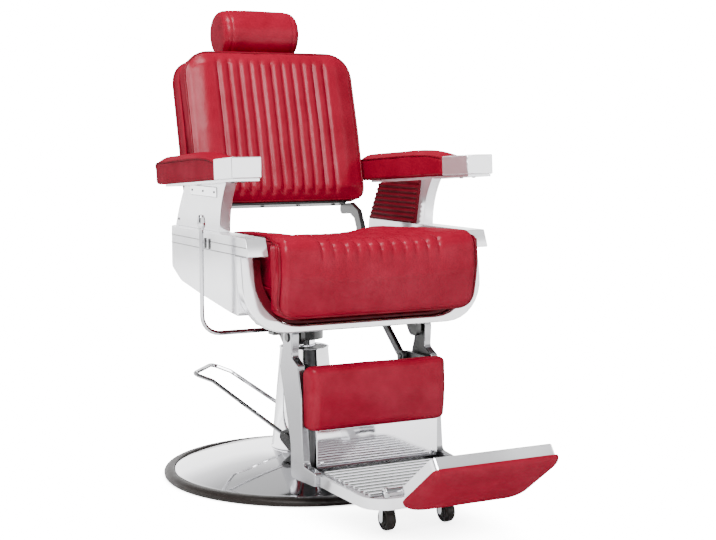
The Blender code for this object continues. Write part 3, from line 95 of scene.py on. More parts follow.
def linear(code):
    """A hex sRGB colour as linear red, green and blue."""
    shares = [int(code[i:i + 2], 16) / 255 for i in (1, 3, 5)]
    return tuple(c / 12.92 if c <= 0.04045 else ((c + 0.055) / 1.055) ** 2.4 for c in shares)


def per_metre(millimetres):
    """How often a pattern of that size repeats along a metre."""
    return 1000.0 / millimetres


def smooth_step(value):
    value = min(max(value, 0.0), 1.0)
    return value * value * (3 - 2 * value)


class ChairColours(bpy.types.PropertyGroup):
    """Colours of the finishes."""
    vinyl: FloatVectorProperty(name="Vinyl", description="Upholstery vinyl where it is lit", subtype="COLOR",
                               default=linear("#90102A"))
    vinyl_deep: FloatVectorProperty(name="Vinyl, mottled", description="Darker clouds in the vinyl",
                                    subtype="COLOR", default=linear("#800C22"))
    liner: FloatVectorProperty(name="Liner", description="Dark vinyl of the tub and the post panels",
                               subtype="COLOR", default=linear("#64121F"))
    chrome: FloatVectorProperty(name="Chrome", description="Plated steel", subtype="COLOR",
                                default=linear("#EDEDF0"))
    aluminium: FloatVectorProperty(name="Aluminium", description="Polished castings", subtype="COLOR",
                                   default=linear("#DCDCE0"))
    enamel: FloatVectorProperty(name="Enamel", description="Black brackets and links", subtype="COLOR",
                                default=linear("#121213"))
    rubber: FloatVectorProperty(name="Rubber", description="Edge ring and wheels", subtype="COLOR",
                                default=linear("#1B1614"))
    floor: FloatVectorProperty(name="Floor", description="Studio floor", subtype="COLOR",
                               default=linear("#F4F4F4"))


class ChairSizes(bpy.types.PropertyGroup):
    """Sizes of the upholstery's details and the fasteners."""
    channels: IntProperty(name="Channels", description="Sewn lines across seat and back", default=11, min=3)
    channel_pitch: FloatProperty(name="Channel pitch", description="Between two sewn lines", unit="LENGTH",
                                 default=0.0278, min=0.01)
    channel_depth: FloatProperty(name="Channel depth", description="Sewn line below the roll", unit="LENGTH",
                                 default=0.0050, min=0.0)
    welt: FloatProperty(name="Welt radius", description="Piping at the edges of the covers", unit="LENGTH",
                        default=0.0030, min=0.0005)
    stitch: FloatProperty(name="Stitch length", description="One stitch of the sewn lines", unit="LENGTH",
                          default=0.0042, min=0.001)
    stitch_pitch: FloatProperty(name="Stitch pitch", description="From stitch to stitch", unit="LENGTH",
                                default=0.0060, min=0.001)
    thread: FloatProperty(name="Thread", description="Thickness of the thread", unit="LENGTH",
                          default=0.0008, min=0.0002)
    screw: FloatProperty(name="Screw head radius", description="Socket-head screws", unit="LENGTH",
                         default=0.0042, min=0.001)


def sizes():
    return bpy.context.scene.chair_sizes


def colours():
    return bpy.context.scene.chair_colours


# Materials

def add(tree, kind, inputs=None, **settings):
    """A node with its settings, its inputs set or linked."""
    made = tree.nodes.new(kind)
    for key, value in settings.items():
        setattr(made, key, value)
    for key, value in (inputs or {}).items():
        if isinstance(value, bpy.types.NodeSocket):
            tree.links.new(value, made.inputs[key])
        else:
            made.inputs[key].default_value = value
    return made


def ramp(tree, value, low, high, tones):
    """Grey tones at places between low and high of a value."""
    share = add(tree, "ShaderNodeMapRange", {"Value": value, "From Min": low, "From Max": high})
    made = add(tree, "ShaderNodeValToRGB", {"Fac": share.outputs["Result"]})
    stops = made.color_ramp.elements
    for place, tone in tones[1:-1]:
        stops.new((place - low) / (high - low)).color = (tone, tone, tone, 1.0)
    for stop, (_, tone) in ((stops[0], tones[0]), (stops[-1], tones[-1])):
        stop.color = (tone, tone, tone, 1.0)
    return made.outputs["Color"]


def begin(name, **values):
    """A new material with its shader's constants set: material, tree, shader, object coordinates."""
    material = bpy.data.materials.new(name)
    material.use_nodes = True
    tree = material.node_tree
    shader = tree.nodes["Principled BSDF"]
    for key, value in values.items():
        shader.inputs[key.replace("_", " ")].default_value = value
    place = add(tree, "ShaderNodeTexCoord").outputs["Object"]
    return material, tree, shader, place


def rgba(colour):
    return (*colour, 1.0)


def upholstery_vinyl(name, lit, deep):
    """Embossed vinyl sheet: slow clouds of colour, a pebbled grain and a waxed shine that comes and goes."""
    material, tree, shader, place = begin(name, Specular_IOR_Level=0.0, Roughness=0.6, Coat_IOR=4.0,
                                          Coat_Roughness=0.27)
    clouds = add(tree, "ShaderNodeTexNoise", {"Vector": place, "Scale": per_metre(70), "Detail": 6.0,
                                              "Roughness": 0.66})
    share = add(tree, "ShaderNodeMapRange", {"Value": clouds.outputs["Fac"], "From Min": 0.30, "From Max": 0.70})
    blend = add(tree, "ShaderNodeMix", {"Factor": share.outputs["Result"], "A": rgba(deep), "B": rgba(lit)},
                data_type="RGBA")
    tree.links.new(blend.outputs["Result"], shader.inputs["Base Color"])
    wax = add(tree, "ShaderNodeMapRange", {"Value": clouds.outputs["Fac"], "From Min": 0.30, "From Max": 0.70,
                                           "To Min": 0.022, "To Max": 0.036})
    tree.links.new(wax.outputs["Result"], shader.inputs["Coat Weight"])
    pebbles = add(tree, "ShaderNodeTexVoronoi", {"Vector": place, "Scale": per_metre(1.6), "Randomness": 0.9},
                  feature="SMOOTH_F1")
    creases = add(tree, "ShaderNodeTexNoise", {"Vector": place, "Scale": per_metre(9), "Detail": 4.0})
    grain = add(tree, "ShaderNodeBump", {"Height": pebbles.outputs["Distance"], "Strength": 0.12,
                                         "Distance": 0.0004})
    soft = add(tree, "ShaderNodeBump", {"Height": creases.outputs["Fac"], "Strength": 0.16, "Distance": 0.0016,
                                        "Normal": grain.outputs["Normal"]})
    for socket in ("Normal", "Coat Normal"):
        tree.links.new(soft.outputs["Normal"], shader.inputs[socket])
    return material


def plated_chrome(name, colour):
    """Polished nickel-chrome plate: a clear mirror, with faint handling haze."""
    material, tree, shader, place = begin(name, Metallic=1.0, Base_Color=rgba(colour))
    haze = add(tree, "ShaderNodeTexNoise", {"Vector": place, "Scale": per_metre(70), "Detail": 6.0})
    rough = add(tree, "ShaderNodeMapRange", {"Value": haze.outputs["Fac"], "From Min": 0.35, "From Max": 0.75,
                                             "To Min": 0.045, "To Max": 0.11})
    tree.links.new(rough.outputs["Result"], shader.inputs["Roughness"])
    ripple = add(tree, "ShaderNodeTexNoise", {"Vector": place, "Scale": per_metre(38), "Detail": 1.0})
    bump = add(tree, "ShaderNodeBump", {"Height": ripple.outputs["Fac"], "Strength": 0.10, "Distance": 0.0010})
    tree.links.new(bump.outputs["Normal"], shader.inputs["Normal"])
    return material


def lacquered_alloy(name, colour):
    """Buffed alloy under clear lacquer: a soft mirror, whitened by what the lacquer scatters."""
    material, tree, shader, place = begin(name, Metallic=0.66, Base_Color=rgba(colour))
    buffing = add(tree, "ShaderNodeTexNoise", {"Vector": place, "Scale": per_metre(45), "Detail": 6.0})
    rough = add(tree, "ShaderNodeMapRange", {"Value": buffing.outputs["Fac"], "From Min": 0.35, "From Max": 0.75,
                                             "To Min": 0.08, "To Max": 0.17})
    tree.links.new(rough.outputs["Result"], shader.inputs["Roughness"])
    bump = add(tree, "ShaderNodeBump", {"Height": buffing.outputs["Fac"], "Strength": 0.06, "Distance": 0.0008})
    tree.links.new(bump.outputs["Normal"], shader.inputs["Normal"])
    return material


def polished_aluminium(name, colour):
    """Cast aluminium, belt-polished along its length: fine streaks and a satin mirror."""
    material, tree, shader, place = begin(name, Metallic=1.0)
    stretch = add(tree, "ShaderNodeMapping", {"Vector": place, "Scale": (0.06, 1.0, 1.0)})
    streaks = add(tree, "ShaderNodeTexNoise", {"Vector": stretch.outputs["Vector"], "Scale": per_metre(1.4),
                                               "Detail": 3.0})
    tone = add(tree, "ShaderNodeMapRange", {"Value": streaks.outputs["Fac"], "To Min": 0.93, "To Max": 1.04})
    shade = add(tree, "ShaderNodeMix", {"Factor": tone.outputs["Result"], "A": (0.0, 0.0, 0.0, 1.0),
                                        "B": rgba(colour)}, data_type="RGBA", clamp_factor=False)
    tree.links.new(shade.outputs["Result"], shader.inputs["Base Color"])
    rough = add(tree, "ShaderNodeMapRange", {"Value": streaks.outputs["Fac"], "To Min": 0.18, "To Max": 0.28})
    tree.links.new(rough.outputs["Result"], shader.inputs["Roughness"])
    bump = add(tree, "ShaderNodeBump", {"Height": streaks.outputs["Fac"], "Strength": 0.12, "Distance": 0.0002})
    tree.links.new(bump.outputs["Normal"], shader.inputs["Normal"])
    return material


def black_enamel(name, colour):
    """Stoved black enamel on steel: a low orange-peel skin with a half gloss."""
    material, tree, shader, place = begin(name, Base_Color=rgba(colour), IOR=1.5, Coat_Weight=0.25,
                                          Coat_Roughness=0.18)
    peel = add(tree, "ShaderNodeTexNoise", {"Vector": place, "Scale": per_metre(2.2), "Detail": 2.0})
    rough = add(tree, "ShaderNodeMapRange", {"Value": peel.outputs["Fac"], "To Min": 0.30, "To Max": 0.46})
    tree.links.new(rough.outputs["Result"], shader.inputs["Roughness"])
    bump = add(tree, "ShaderNodeBump", {"Height": peel.outputs["Fac"], "Strength": 0.15, "Distance": 0.0004})
    tree.links.new(bump.outputs["Normal"], shader.inputs["Normal"])
    return material


def moulded_rubber(name, colour):
    """Moulded black rubber: dull, slightly dusty, with a faint sheen."""
    material, tree, shader, place = begin(name, IOR=1.5, Specular_IOR_Level=0.18)
    dust = add(tree, "ShaderNodeTexNoise", {"Vector": place, "Scale": per_metre(12), "Detail": 6.0})
    pale = tuple(c * 1.7 for c in colour)
    blend = add(tree, "ShaderNodeMix", {"Factor": dust.outputs["Fac"], "A": rgba(colour), "B": rgba(pale)},
                data_type="RGBA")
    tree.links.new(blend.outputs["Result"], shader.inputs["Base Color"])
    rough = add(tree, "ShaderNodeMapRange", {"Value": dust.outputs["Fac"], "To Min": 0.34, "To Max": 0.52})
    tree.links.new(rough.outputs["Result"], shader.inputs["Roughness"])
    skin = add(tree, "ShaderNodeTexNoise", {"Vector": place, "Scale": per_metre(1.5)})
    bump = add(tree, "ShaderNodeBump", {"Height": skin.outputs["Fac"], "Strength": 0.18, "Distance": 0.0003})
    tree.links.new(bump.outputs["Normal"], shader.inputs["Normal"])
    return material


def sintered_bronze(name, colour):
    """Oil-filled bronze of the swivel washer: dull metal with dark pores."""
    material, tree, shader, place = begin(name, Metallic=1.0, Roughness=0.42)
    pores = add(tree, "ShaderNodeTexNoise", {"Vector": place, "Scale": per_metre(1.2), "Detail": 3.0})
    dark = tuple(c * 0.6 for c in colour)
    blend = add(tree, "ShaderNodeMix", {"Factor": pores.outputs["Fac"], "A": rgba(dark), "B": rgba(colour)},
                data_type="RGBA")
    tree.links.new(blend.outputs["Result"], shader.inputs["Base Color"])
    return material


def birch_plywood(name, colour):
    """Raw birch plywood of the seat board: long pale grain."""
    material, tree, shader, place = begin(name, Roughness=0.72, IOR=1.5)
    stretch = add(tree, "ShaderNodeMapping", {"Vector": place, "Scale": (1.0, 0.08, 1.0)})
    fibres = add(tree, "ShaderNodeTexNoise", {"Vector": stretch.outputs["Vector"], "Scale": per_metre(4),
                                              "Detail": 6.0})
    dark = tuple(c * 0.55 for c in colour)
    blend = add(tree, "ShaderNodeMix", {"Factor": fibres.outputs["Fac"], "A": rgba(dark), "B": rgba(colour)},
                data_type="RGBA")
    tree.links.new(blend.outputs["Result"], shader.inputs["Base Color"])
    return material


def sewing_thread(name, colour):
    """Bonded thread of the sewn lines: matt, a little darker than the vinyl."""
    material, tree, shader, place = begin(name, Roughness=0.65, IOR=1.5)
    twist = add(tree, "ShaderNodeTexNoise", {"Vector": place, "Scale": per_metre(1.0)})
    dark = tuple(c * 0.6 for c in colour)
    blend = add(tree, "ShaderNodeMix", {"Factor": twist.outputs["Fac"], "A": rgba(dark), "B": rgba(colour)},
                data_type="RGBA")
    tree.links.new(blend.outputs["Result"], shader.inputs["Base Color"])
    return material


def studio_floor(name, colour):
    """White studio paper, made to glow as bright as the backdrop (painted light), with a soft painted shade where
    things touch it and painted rings of tone that only reflections see.
    """
    material, tree, shader, place = begin(name, Roughness=0.75, Base_Color=rgba(colour),
                                          Emission_Color=(1.0, 1.0, 1.0, 1.0))
    # Painted shade: ambient occlusion dims the floor's glow where things touch it.
    shade = add(tree, "ShaderNodeAmbientOcclusion", {"Distance": 0.16}, samples=8)
    drift = add(tree, "ShaderNodeTexNoise", {"Vector": place, "Scale": per_metre(900)})
    paper = add(tree, "ShaderNodeMapRange", {"Value": drift.outputs["Fac"], "To Min": 0.97, "To Max": 1.0})
    lit = add(tree, "ShaderNodeMapRange", {"Value": shade.outputs["AO"], "To Min": BACKDROP * 0.10,
                                           "To Max": BACKDROP})
    seen = add(tree, "ShaderNodeLightPath").outputs
    # Painted reflection: rings of glow by distance from the middle, seen only by glossy rays.
    way = add(tree, "ShaderNodeVectorMath", {0: place}, operation="LENGTH")
    tone = add(tree, "ShaderNodeMath", {0: ramp(tree, way.outputs["Value"], 0.0, FLOOR[-1][0], FLOOR),
                                        1: MIRRORED / BACKDROP}, operation="MULTIPLY")
    mirrored = add(tree, "ShaderNodeMath", {0: seen["Is Glossy Ray"], 1: tone.outputs["Value"]},
                   operation="MULTIPLY")
    share = add(tree, "ShaderNodeMath", {0: seen["Is Camera Ray"], 1: mirrored.outputs["Value"]},
                operation="MAXIMUM")
    painted_glow = add(tree, "ShaderNodeMath", {0: lit.outputs["Result"], 1: share.outputs["Value"]},
               operation="MULTIPLY")
    even = add(tree, "ShaderNodeMath", {0: painted_glow.outputs["Value"], 1: paper.outputs["Result"]},
               operation="MULTIPLY")
    tree.links.new(even.outputs["Value"], shader.inputs["Emission Strength"])
    return material


def finish(slot):
    """The material for one slot of the record, made on first use."""
    known = bpy.data.materials.get("finish_" + slot)
    if known:
        return known
    paint = colours()
    makers = {
        "red_vinyl": lambda name: upholstery_vinyl(name, paint.vinyl, paint.vinyl_deep),
        # Welts: a darker copy of the vinyl, painted shade of the seams.
        "piping": lambda name: upholstery_vinyl(name, paint.vinyl_deep, tuple(c * 0.45 for c in paint.vinyl_deep)),
        "dark_vinyl": lambda name: upholstery_vinyl(name, paint.liner, tuple(c * 0.7 for c in paint.liner)),
        "chrome": lambda name: plated_chrome(name, paint.chrome),
        "polished_alloy": lambda name: lacquered_alloy(name, paint.chrome),
        "aluminium": lambda name: polished_aluminium(name, paint.aluminium),
        # A darker copy of the aluminium: painted shade and dark reflection, on the leg arms and in the foot plate's
        # grooves.
        "cast_alloy": lambda name: polished_aluminium(name, tuple(c * 0.42 for c in paint.aluminium)),
        # A darker copy of the chrome: painted shade and dark reflection, so rods, pins, the head bar and the knob read
        # grey.
        "drawn_rod": lambda name: plated_chrome(name, tuple(c * 0.50 for c in paint.chrome)),
        "black_steel": lambda name: black_enamel(name, paint.enamel),
        "rubber": lambda name: moulded_rubber(name, paint.rubber),
        "bronze": lambda name: sintered_bronze(name, linear("#B5803F")),
        "plywood": lambda name: birch_plywood(name, linear("#C9A878")),
        "thread": lambda name: sewing_thread(name, paint.vinyl),
        "floor": lambda name: studio_floor(name, paint.floor),
    }
    return makers[slot]("finish_" + slot)


# Meshes and pieces

def piece(name, mesh, body, slot, stands_for=(), angle=35.0, look=None):
    """A finished mesh as a named piece that rides on a body."""
    mesh.name = name
    mesh.materials.clear()
    mesh.materials.append(finish(look or slot))
    mesh.shade_smooth()
    mesh.set_sharp_from_angle(angle=math.radians(angle))
    obj = bpy.data.objects.new(name, mesh)
    bpy.context.scene.collection.objects.link(obj)
    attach(obj, body)
    if stands_for:
        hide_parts(*stands_for)
    return obj


def welded(node):
    """A copy of a node's mesh with its loose triangles merged into whole faces."""
    made = bmesh.new()
    made.from_mesh(NODES[node].data)
    bmesh.ops.remove_doubles(made, verts=made.verts, dist=0.00001)
    bmesh.ops.dissolve_limit(made, angle_limit=math.radians(0.6), verts=made.verts, edges=made.edges)
    mesh = bpy.data.meshes.new(node)
    made.to_mesh(mesh)
    made.free()
    mesh.normals_split_custom_set([(0.0, 0.0, 0.0)] * len(mesh.loops))
    return mesh


def dressed(node, width, segments=3, look=None):
    """A rigid node with its edges eased, in place of the plain one."""
    obj = piece(node + "_finished", welded(node), BODY_OF[node], SLOT_OF[node], [node], look=look)
    if width:
        step = obj.modifiers.new("eased_edges", "BEVEL")
        step.width = width
        step.segments = segments
        step.limit_method = "ANGLE"
        step.angle_limit = math.radians(35)
        step.harden_normals = True
        step.miter_outer = "MITER_ARC"
    return obj


def repainted(*nodes):
    """Plain inner nodes keep their shape and take their finish."""
    for node in nodes:
        materials = NODES[node].data.materials
        materials.clear()
        materials.append(finish(SLOT_OF[node]))


def skin(rings, close=True):
    """A mesh through rings of as many points each; the ends are closed flat."""
    made = bmesh.new()
    rows = [[made.verts.new(point) for point in ring] for ring in rings]
    count = len(rows[0])
    for near, far in zip(rows, rows[1:]):
        for i in range(count):
            j = (i + 1) % count
            made.faces.new((near[i], near[j], far[j], far[i]))
    if close:
        made.faces.new(rows[0])
        made.faces.new(rows[-1])
    bmesh.ops.recalc_face_normals(made, faces=made.faces)
    mesh = bpy.data.meshes.new("skin")
    made.to_mesh(mesh)
    made.free()
    return mesh


def turned(profile, steps=128, matrix=Matrix.Identity(4)):
    """A closed (radius, height) profile turned about the upright axis of a frame."""
    made = bmesh.new()
    rows = []
    for k in range(steps):
        angle = math.tau * k / steps
        rows.append([made.verts.new(matrix @ Vector((radius * math.cos(angle), radius * math.sin(angle), height)))
                     for radius, height in profile])
    count = len(profile)
    for k in range(steps):
        near = rows[k]
        far = rows[(k + 1) % steps]
        for i in range(count):
            j = (i + 1) % count
            made.faces.new((near[i], near[j], far[j], far[i]))
    bmesh.ops.remove_doubles(made, verts=made.verts, dist=0.000001)
    bmesh.ops.dissolve_degenerate(made, edges=made.edges, dist=0.000001)
    bmesh.ops.recalc_face_normals(made, faces=made.faces)
    mesh = bpy.data.meshes.new("turned")
    made.to_mesh(mesh)
    made.free()
    return mesh


def rounded(corners, steps=8, between=0):
    """A closed outline from corners (u, v, radius): arcs, with points between them along the sides."""
    arcs = []
    count = len(corners)
    for i, (u, v, radius) in enumerate(corners):
        here = Vector((u, v))
        before = corners[i - 1]
        after = corners[(i + 1) % count]
        back = Vector(before[:2]) - here
        ahead = Vector(after[:2]) - here
        half = back.angle(ahead) / 2
        room = min(back.length, ahead.length) * 0.49
        reach = min(radius / math.tan(half), room)
        back.normalize()
        ahead.normalize()
        start = here + back * reach
        end = here + ahead * reach
        arc = []
        for k in range(steps + 1):
            share = k / steps
            arc.append(start * (1 - share) ** 2 + here * (2 * share * (1 - share)) + end * share ** 2)
        arcs.append(arc)
    points = []
    for arc, following in zip(arcs, arcs[1:] + arcs[:1]):
        points += arc
        gap = following[0] - arc[-1]
        points += [arc[-1] + gap * ((k + 1) / (between + 1)) for k in range(between)]
    return points


def relaxed(points, rounds, closed=False):
    """A path with its kinks evened out, its ends kept."""
    points = [Vector(p) for p in points]
    count = len(points)
    for _ in range(rounds):
        moved = []
        for i, point in enumerate(points):
            if not closed and i in (0, count - 1):
                moved.append(point)
            else:
                moved.append((points[i - 1] + point * 2 + points[(i + 1) % count]) / 4)
        points = moved
    return points


def evened(points, step, closed=False):
    """The same path with points at an even spacing."""
    chain = list(points) + ([points[0]] if closed else [])
    ways = [0.0]
    for a, b in zip(chain, chain[1:]):
        ways.append(ways[-1] + (b - a).length)
    count = max(int(round(ways[-1] / step)), 2)
    made = []
    k = 0
    for i in range(count if closed else count + 1):
        want = ways[-1] * i / count
        while k < len(ways) - 2 and ways[k + 1] < want:
            k += 1
        span = max(ways[k + 1] - ways[k], 1e-9)
        made.append(chain[k].lerp(chain[k + 1], min((want - ways[k]) / span, 1.0)))
    return made


def path_mesh(paths, closed=False):
    """Edges along each path, as the base for a sweep or a row of stitches."""
    points = []
    edges = []
    for path in paths:
        first = len(points)
        points += [tuple(p) for p in path]
        edges += [(first + i, first + i + 1) for i in range(len(path) - 1)]
        if closed:
            edges.append((len(points) - 1, first))
    mesh = bpy.data.meshes.new("path")
    mesh.from_pydata(points, edges, [])
    return mesh


def tilted_box(node, angle):
    """Lowest and highest corner of a node in a frame tilted about X by the angle."""
    turn = Matrix.Rotation(angle, 3, "X")
    points = [turn @ vertex.co for vertex in NODES[node].data.vertices]
    low = Vector([min(p[i] for p in points) for i in range(3)])
    high = Vector([max(p[i] for p in points) for i in range(3)])
    return low, high


def out_of_tilt(angle):
    """From the tilted frame back to the chair's."""
    return Matrix.Rotation(-angle, 4, "X")


def press(mesh, depth_at):
    """Push points inwards by the depth that depth_at gives for a place and its normal."""
    normals = [vertex.normal.copy() for vertex in mesh.vertices]
    for vertex, normal in zip(mesh.vertices, normals):
        vertex.co -= normal * depth_at(vertex.co, normal)
    mesh.update()


# Geometry Nodes trees

def tree_with(name, inputs):
    """An empty Geometry Nodes tree with a geometry in and out and named inputs."""
    tree = bpy.data.node_groups.new(name, "GeometryNodeTree")
    tree.interface.new_socket("Geometry", in_out="INPUT", socket_type="NodeSocketGeometry")
    for label, kind in inputs:
        tree.interface.new_socket(label, in_out="INPUT", socket_type=kind)
    tree.interface.new_socket("Geometry", in_out="OUTPUT", socket_type="NodeSocketGeometry")
    return tree, add(tree, "NodeGroupInput").outputs


def close_tree(tree, geometry, material):
    """Realize, shade and paint what a tree made, and hand it out."""
    real = add(tree, "GeometryNodeRealizeInstances", {"Geometry": geometry})
    smooth = add(tree, "GeometryNodeSetShadeSmooth", {"Geometry": real.outputs["Geometry"]})
    painted = add(tree, "GeometryNodeSetMaterial", {"Geometry": smooth.outputs["Geometry"], "Material": material})
    add(tree, "NodeGroupOutput", {"Geometry": painted.outputs["Geometry"]})
    return tree


def sweep_tree():
    """A round cord or rod along the edges of a path."""
    known = bpy.data.node_groups.get("round_sweep")
    if known:
        return known
    tree, given = tree_with("round_sweep", [("Radius", "NodeSocketFloat"), ("Sides", "NodeSocketInt"),
                                            ("Material", "NodeSocketMaterial")])
    line = add(tree, "GeometryNodeMeshToCurve", {"Mesh": given["Geometry"]})
    ring = add(tree, "GeometryNodeCurvePrimitiveCircle", {"Resolution": given["Sides"], "Radius": given["Radius"]})
    tube = add(tree, "GeometryNodeCurveToMesh", {"Curve": line.outputs["Curve"],
                                                 "Profile Curve": ring.outputs["Curve"], "Fill Caps": True})
    return close_tree(tree, tube.outputs["Mesh"], given["Material"])


def stitch_tree():
    """Stitches laid end to end along the edges of a path."""
    known = bpy.data.node_groups.get("stitch_row")
    if known:
        return known
    tree, given = tree_with("stitch_row", [("Length", "NodeSocketFloat"), ("Pitch", "NodeSocketFloat"),
                                           ("Thread", "NodeSocketFloat"), ("Material", "NodeSocketMaterial")])
    line = add(tree, "GeometryNodeMeshToCurve", {"Mesh": given["Geometry"]})
    row = add(tree, "GeometryNodeResampleCurve", {"Curve": line.outputs["Curve"], "Length": given["Pitch"]},
              mode="LENGTH")
    bead = add(tree, "GeometryNodeMeshUVSphere", {"Segments": 6, "Rings": 4, "Radius": 0.5})
    form = add(tree, "ShaderNodeCombineXYZ", {"X": given["Length"], "Y": given["Thread"], "Z": given["Thread"]})
    along = add(tree, "GeometryNodeInputTangent")
    turn = add(tree, "FunctionNodeAlignRotationToVector", {"Vector": along.outputs["Tangent"]}, axis="X")
    laid = add(tree, "GeometryNodeInstanceOnPoints", {
        "Points": row.outputs["Curve"], "Instance": bead.outputs["Mesh"], "Rotation": turn.outputs["Rotation"],
        "Scale": form.outputs["Vector"]})
    return close_tree(tree, laid.outputs["Instances"], given["Material"])


def screw_tree():
    """A screw head on each point, aimed by the point's own direction and sized by its own radius."""
    known = bpy.data.node_groups.get("screw_heads")
    if known:
        return known
    tree, given = tree_with("screw_heads", [("Head", "NodeSocketObject"), ("Material", "NodeSocketMaterial")])
    head = add(tree, "GeometryNodeObjectInfo", {"Object": given["Head"]})
    aim = add(tree, "GeometryNodeInputNamedAttribute", {"Name": "aim"}, data_type="FLOAT_VECTOR")
    size = add(tree, "GeometryNodeInputNamedAttribute", {"Name": "size"}, data_type="FLOAT")
    turn = add(tree, "FunctionNodeAlignRotationToVector", {"Vector": aim.outputs["Attribute"]}, axis="Z")
    laid = add(tree, "GeometryNodeInstanceOnPoints", {
        "Points": given["Geometry"], "Instance": head.outputs["Geometry"], "Rotation": turn.outputs["Rotation"],
        "Scale": size.outputs["Attribute"]})
    return close_tree(tree, laid.outputs["Instances"], given["Material"])


def grown(base, tree, **values):
    """The plain mesh that a tree makes from a base mesh."""
    seed = bpy.data.objects.new("seed", base)
    bpy.context.scene.collection.objects.link(seed)
    step = seed.modifiers.new("grown", "NODES")
    step.node_group = tree
    for item in tree.interface.items_tree:
        if item.item_type == "SOCKET" and item.in_out == "INPUT" and item.name in values:
            step[item.identifier] = values[item.name]
    graph = bpy.context.evaluated_depsgraph_get()
    mesh = bpy.data.meshes.new_from_object(seed.evaluated_get(graph))
    bpy.data.objects.remove(seed, do_unlink=True)
    return mesh


def cord(name, paths, radius, body, slot, closed=False, sides=12, look=None):
    """Round cords or rods along paths, as one piece."""
    lines = [evened(path, 0.004, closed) for path in paths]
    mesh = grown(path_mesh(lines, closed), sweep_tree(), Radius=radius, Sides=sides, Material=finish(look or slot))
    return piece(name, mesh, body, slot, angle=60.0, look=look)


def piping(name, paths, share, body, closed=False):
    """Welts of a cover: vinyl cords in a darker copy of the cover's vinyl, the painted shade of their seams."""
    return cord(name, paths, sizes().welt * share, body, "red_vinyl", closed, look="piping")


def stitches(name, paths, body, slot):
    """Rows of stitches along paths, as one piece."""
    base = path_mesh([evened(path, 0.01) for path in paths])
    mesh = grown(base, stitch_tree(), Length=sizes().stitch, Pitch=sizes().stitch_pitch, Thread=sizes().thread,
                 Material=finish("thread"))
    return piece(name, mesh, body, slot, angle=80.0, look="thread")


# Screw heads: socket heads of unit radius, grown on points

def hex_reach(angle, across):
    """How far a hexagon's edge lies from its middle at an angle."""
    sector = math.pi / 3
    return across / math.cos((angle + sector / 2) % sector - sector / 2)


def head_object():
    """A domed screw head with a hexagonal socket, of unit radius."""
    steps = 24
    rings = []
    for radius, height, hexed in ((0.98, -0.25, False), (1.0, 0.28, False), (0.93, 0.42, False),
                                  (0.78, 0.52, False), (0.45, 0.58, True), (0.43, 0.22, True)):
        ring = []
        for k in range(steps):
            angle = math.tau * k / steps
            reach = hex_reach(angle, radius) if hexed else radius
            ring.append((reach * math.cos(angle), reach * math.sin(angle), height))
        rings.append(ring)
    head = bpy.data.objects.new("screw_head_form", skin(rings))
    bpy.context.scene.collection.objects.link(head)
    return head


def screws(name, places, body, slot, look=None):
    """Screw heads at (place, direction, radius), as one piece."""
    base = bpy.data.meshes.new("screw_points")
    base.from_pydata([place for place, _, _ in places], [], [])
    for label, kind in (("aim", "FLOAT_VECTOR"), ("size", "FLOAT")):
        base.attributes.new(label, kind, "POINT")
    for i, (_, direction, radius) in enumerate(places):
        base.attributes["aim"].data[i].vector = direction
        base.attributes["size"].data[i].value = radius
    head = head_object()
    mesh = grown(base, screw_tree(), Head=head, Material=finish(look or slot))
    bpy.data.objects.remove(head, do_unlink=True)
    return piece(name, mesh, body, slot, angle=40.0, look=look)


# Channelled upholstery

def channel_share(place):
    """1 on a sewn line, 0 on the roll between two of them."""
    pitch = sizes().channel_pitch
    span = (sizes().channels - 1) / 2 * pitch
    if abs(place) > span + pitch / 2:
        return 0.0
    return 1 - abs(math.sin(math.pi * (place + span) / pitch)) ** 0.9


def sewn_lines():
    """Places of the sewn lines across a cushion."""
    pitch = sizes().channel_pitch
    span = (sizes().channels - 1) / 2 * pitch
    return [-span + pitch * k for k in range(sizes().channels)]


def across(half, count, crowding=0.5):
    """Places across a cushion, crowding towards both ends."""
    places = []
    for k in range(count + 1):
        even = 2 * k / count - 1
        bent = math.sin(even * math.pi / 2)
        places.append(half * (even * (1 - crowding) + bent * crowding))
    return places


def puckers(place, strength):
    """Slow uneven fullness of foam under a cover, with the small gathers of its sewing."""
    return strength * (noise.noise(Vector(place) * 16.0) + 0.3 * noise.noise(Vector(place) * 75.0))


def along_ring(rings, places, wanted, first, last):
    """Points first to last of the ring nearest to a wanted place."""
    index = min(range(len(places)), key=lambda i: abs(places[i] - wanted))
    return [Vector(p) for p in rings[index][first:last]]


# Seat: shares and sizes of the cushion's shape
SEAT_DISH = 0.012
SEAT_FALL = 0.014
SEAT_TUCK = 0.014
SEAT_LIP = 0.010
SEAT_LIP_DEPTH = 0.042
SEAT_LIP_ROUND = 0.045
SEAT_REAR_NARROWING = 0.134
SEAT_WELT = 0.0065
SEAT_ARC = 10
SEAT_BETWEEN = 9


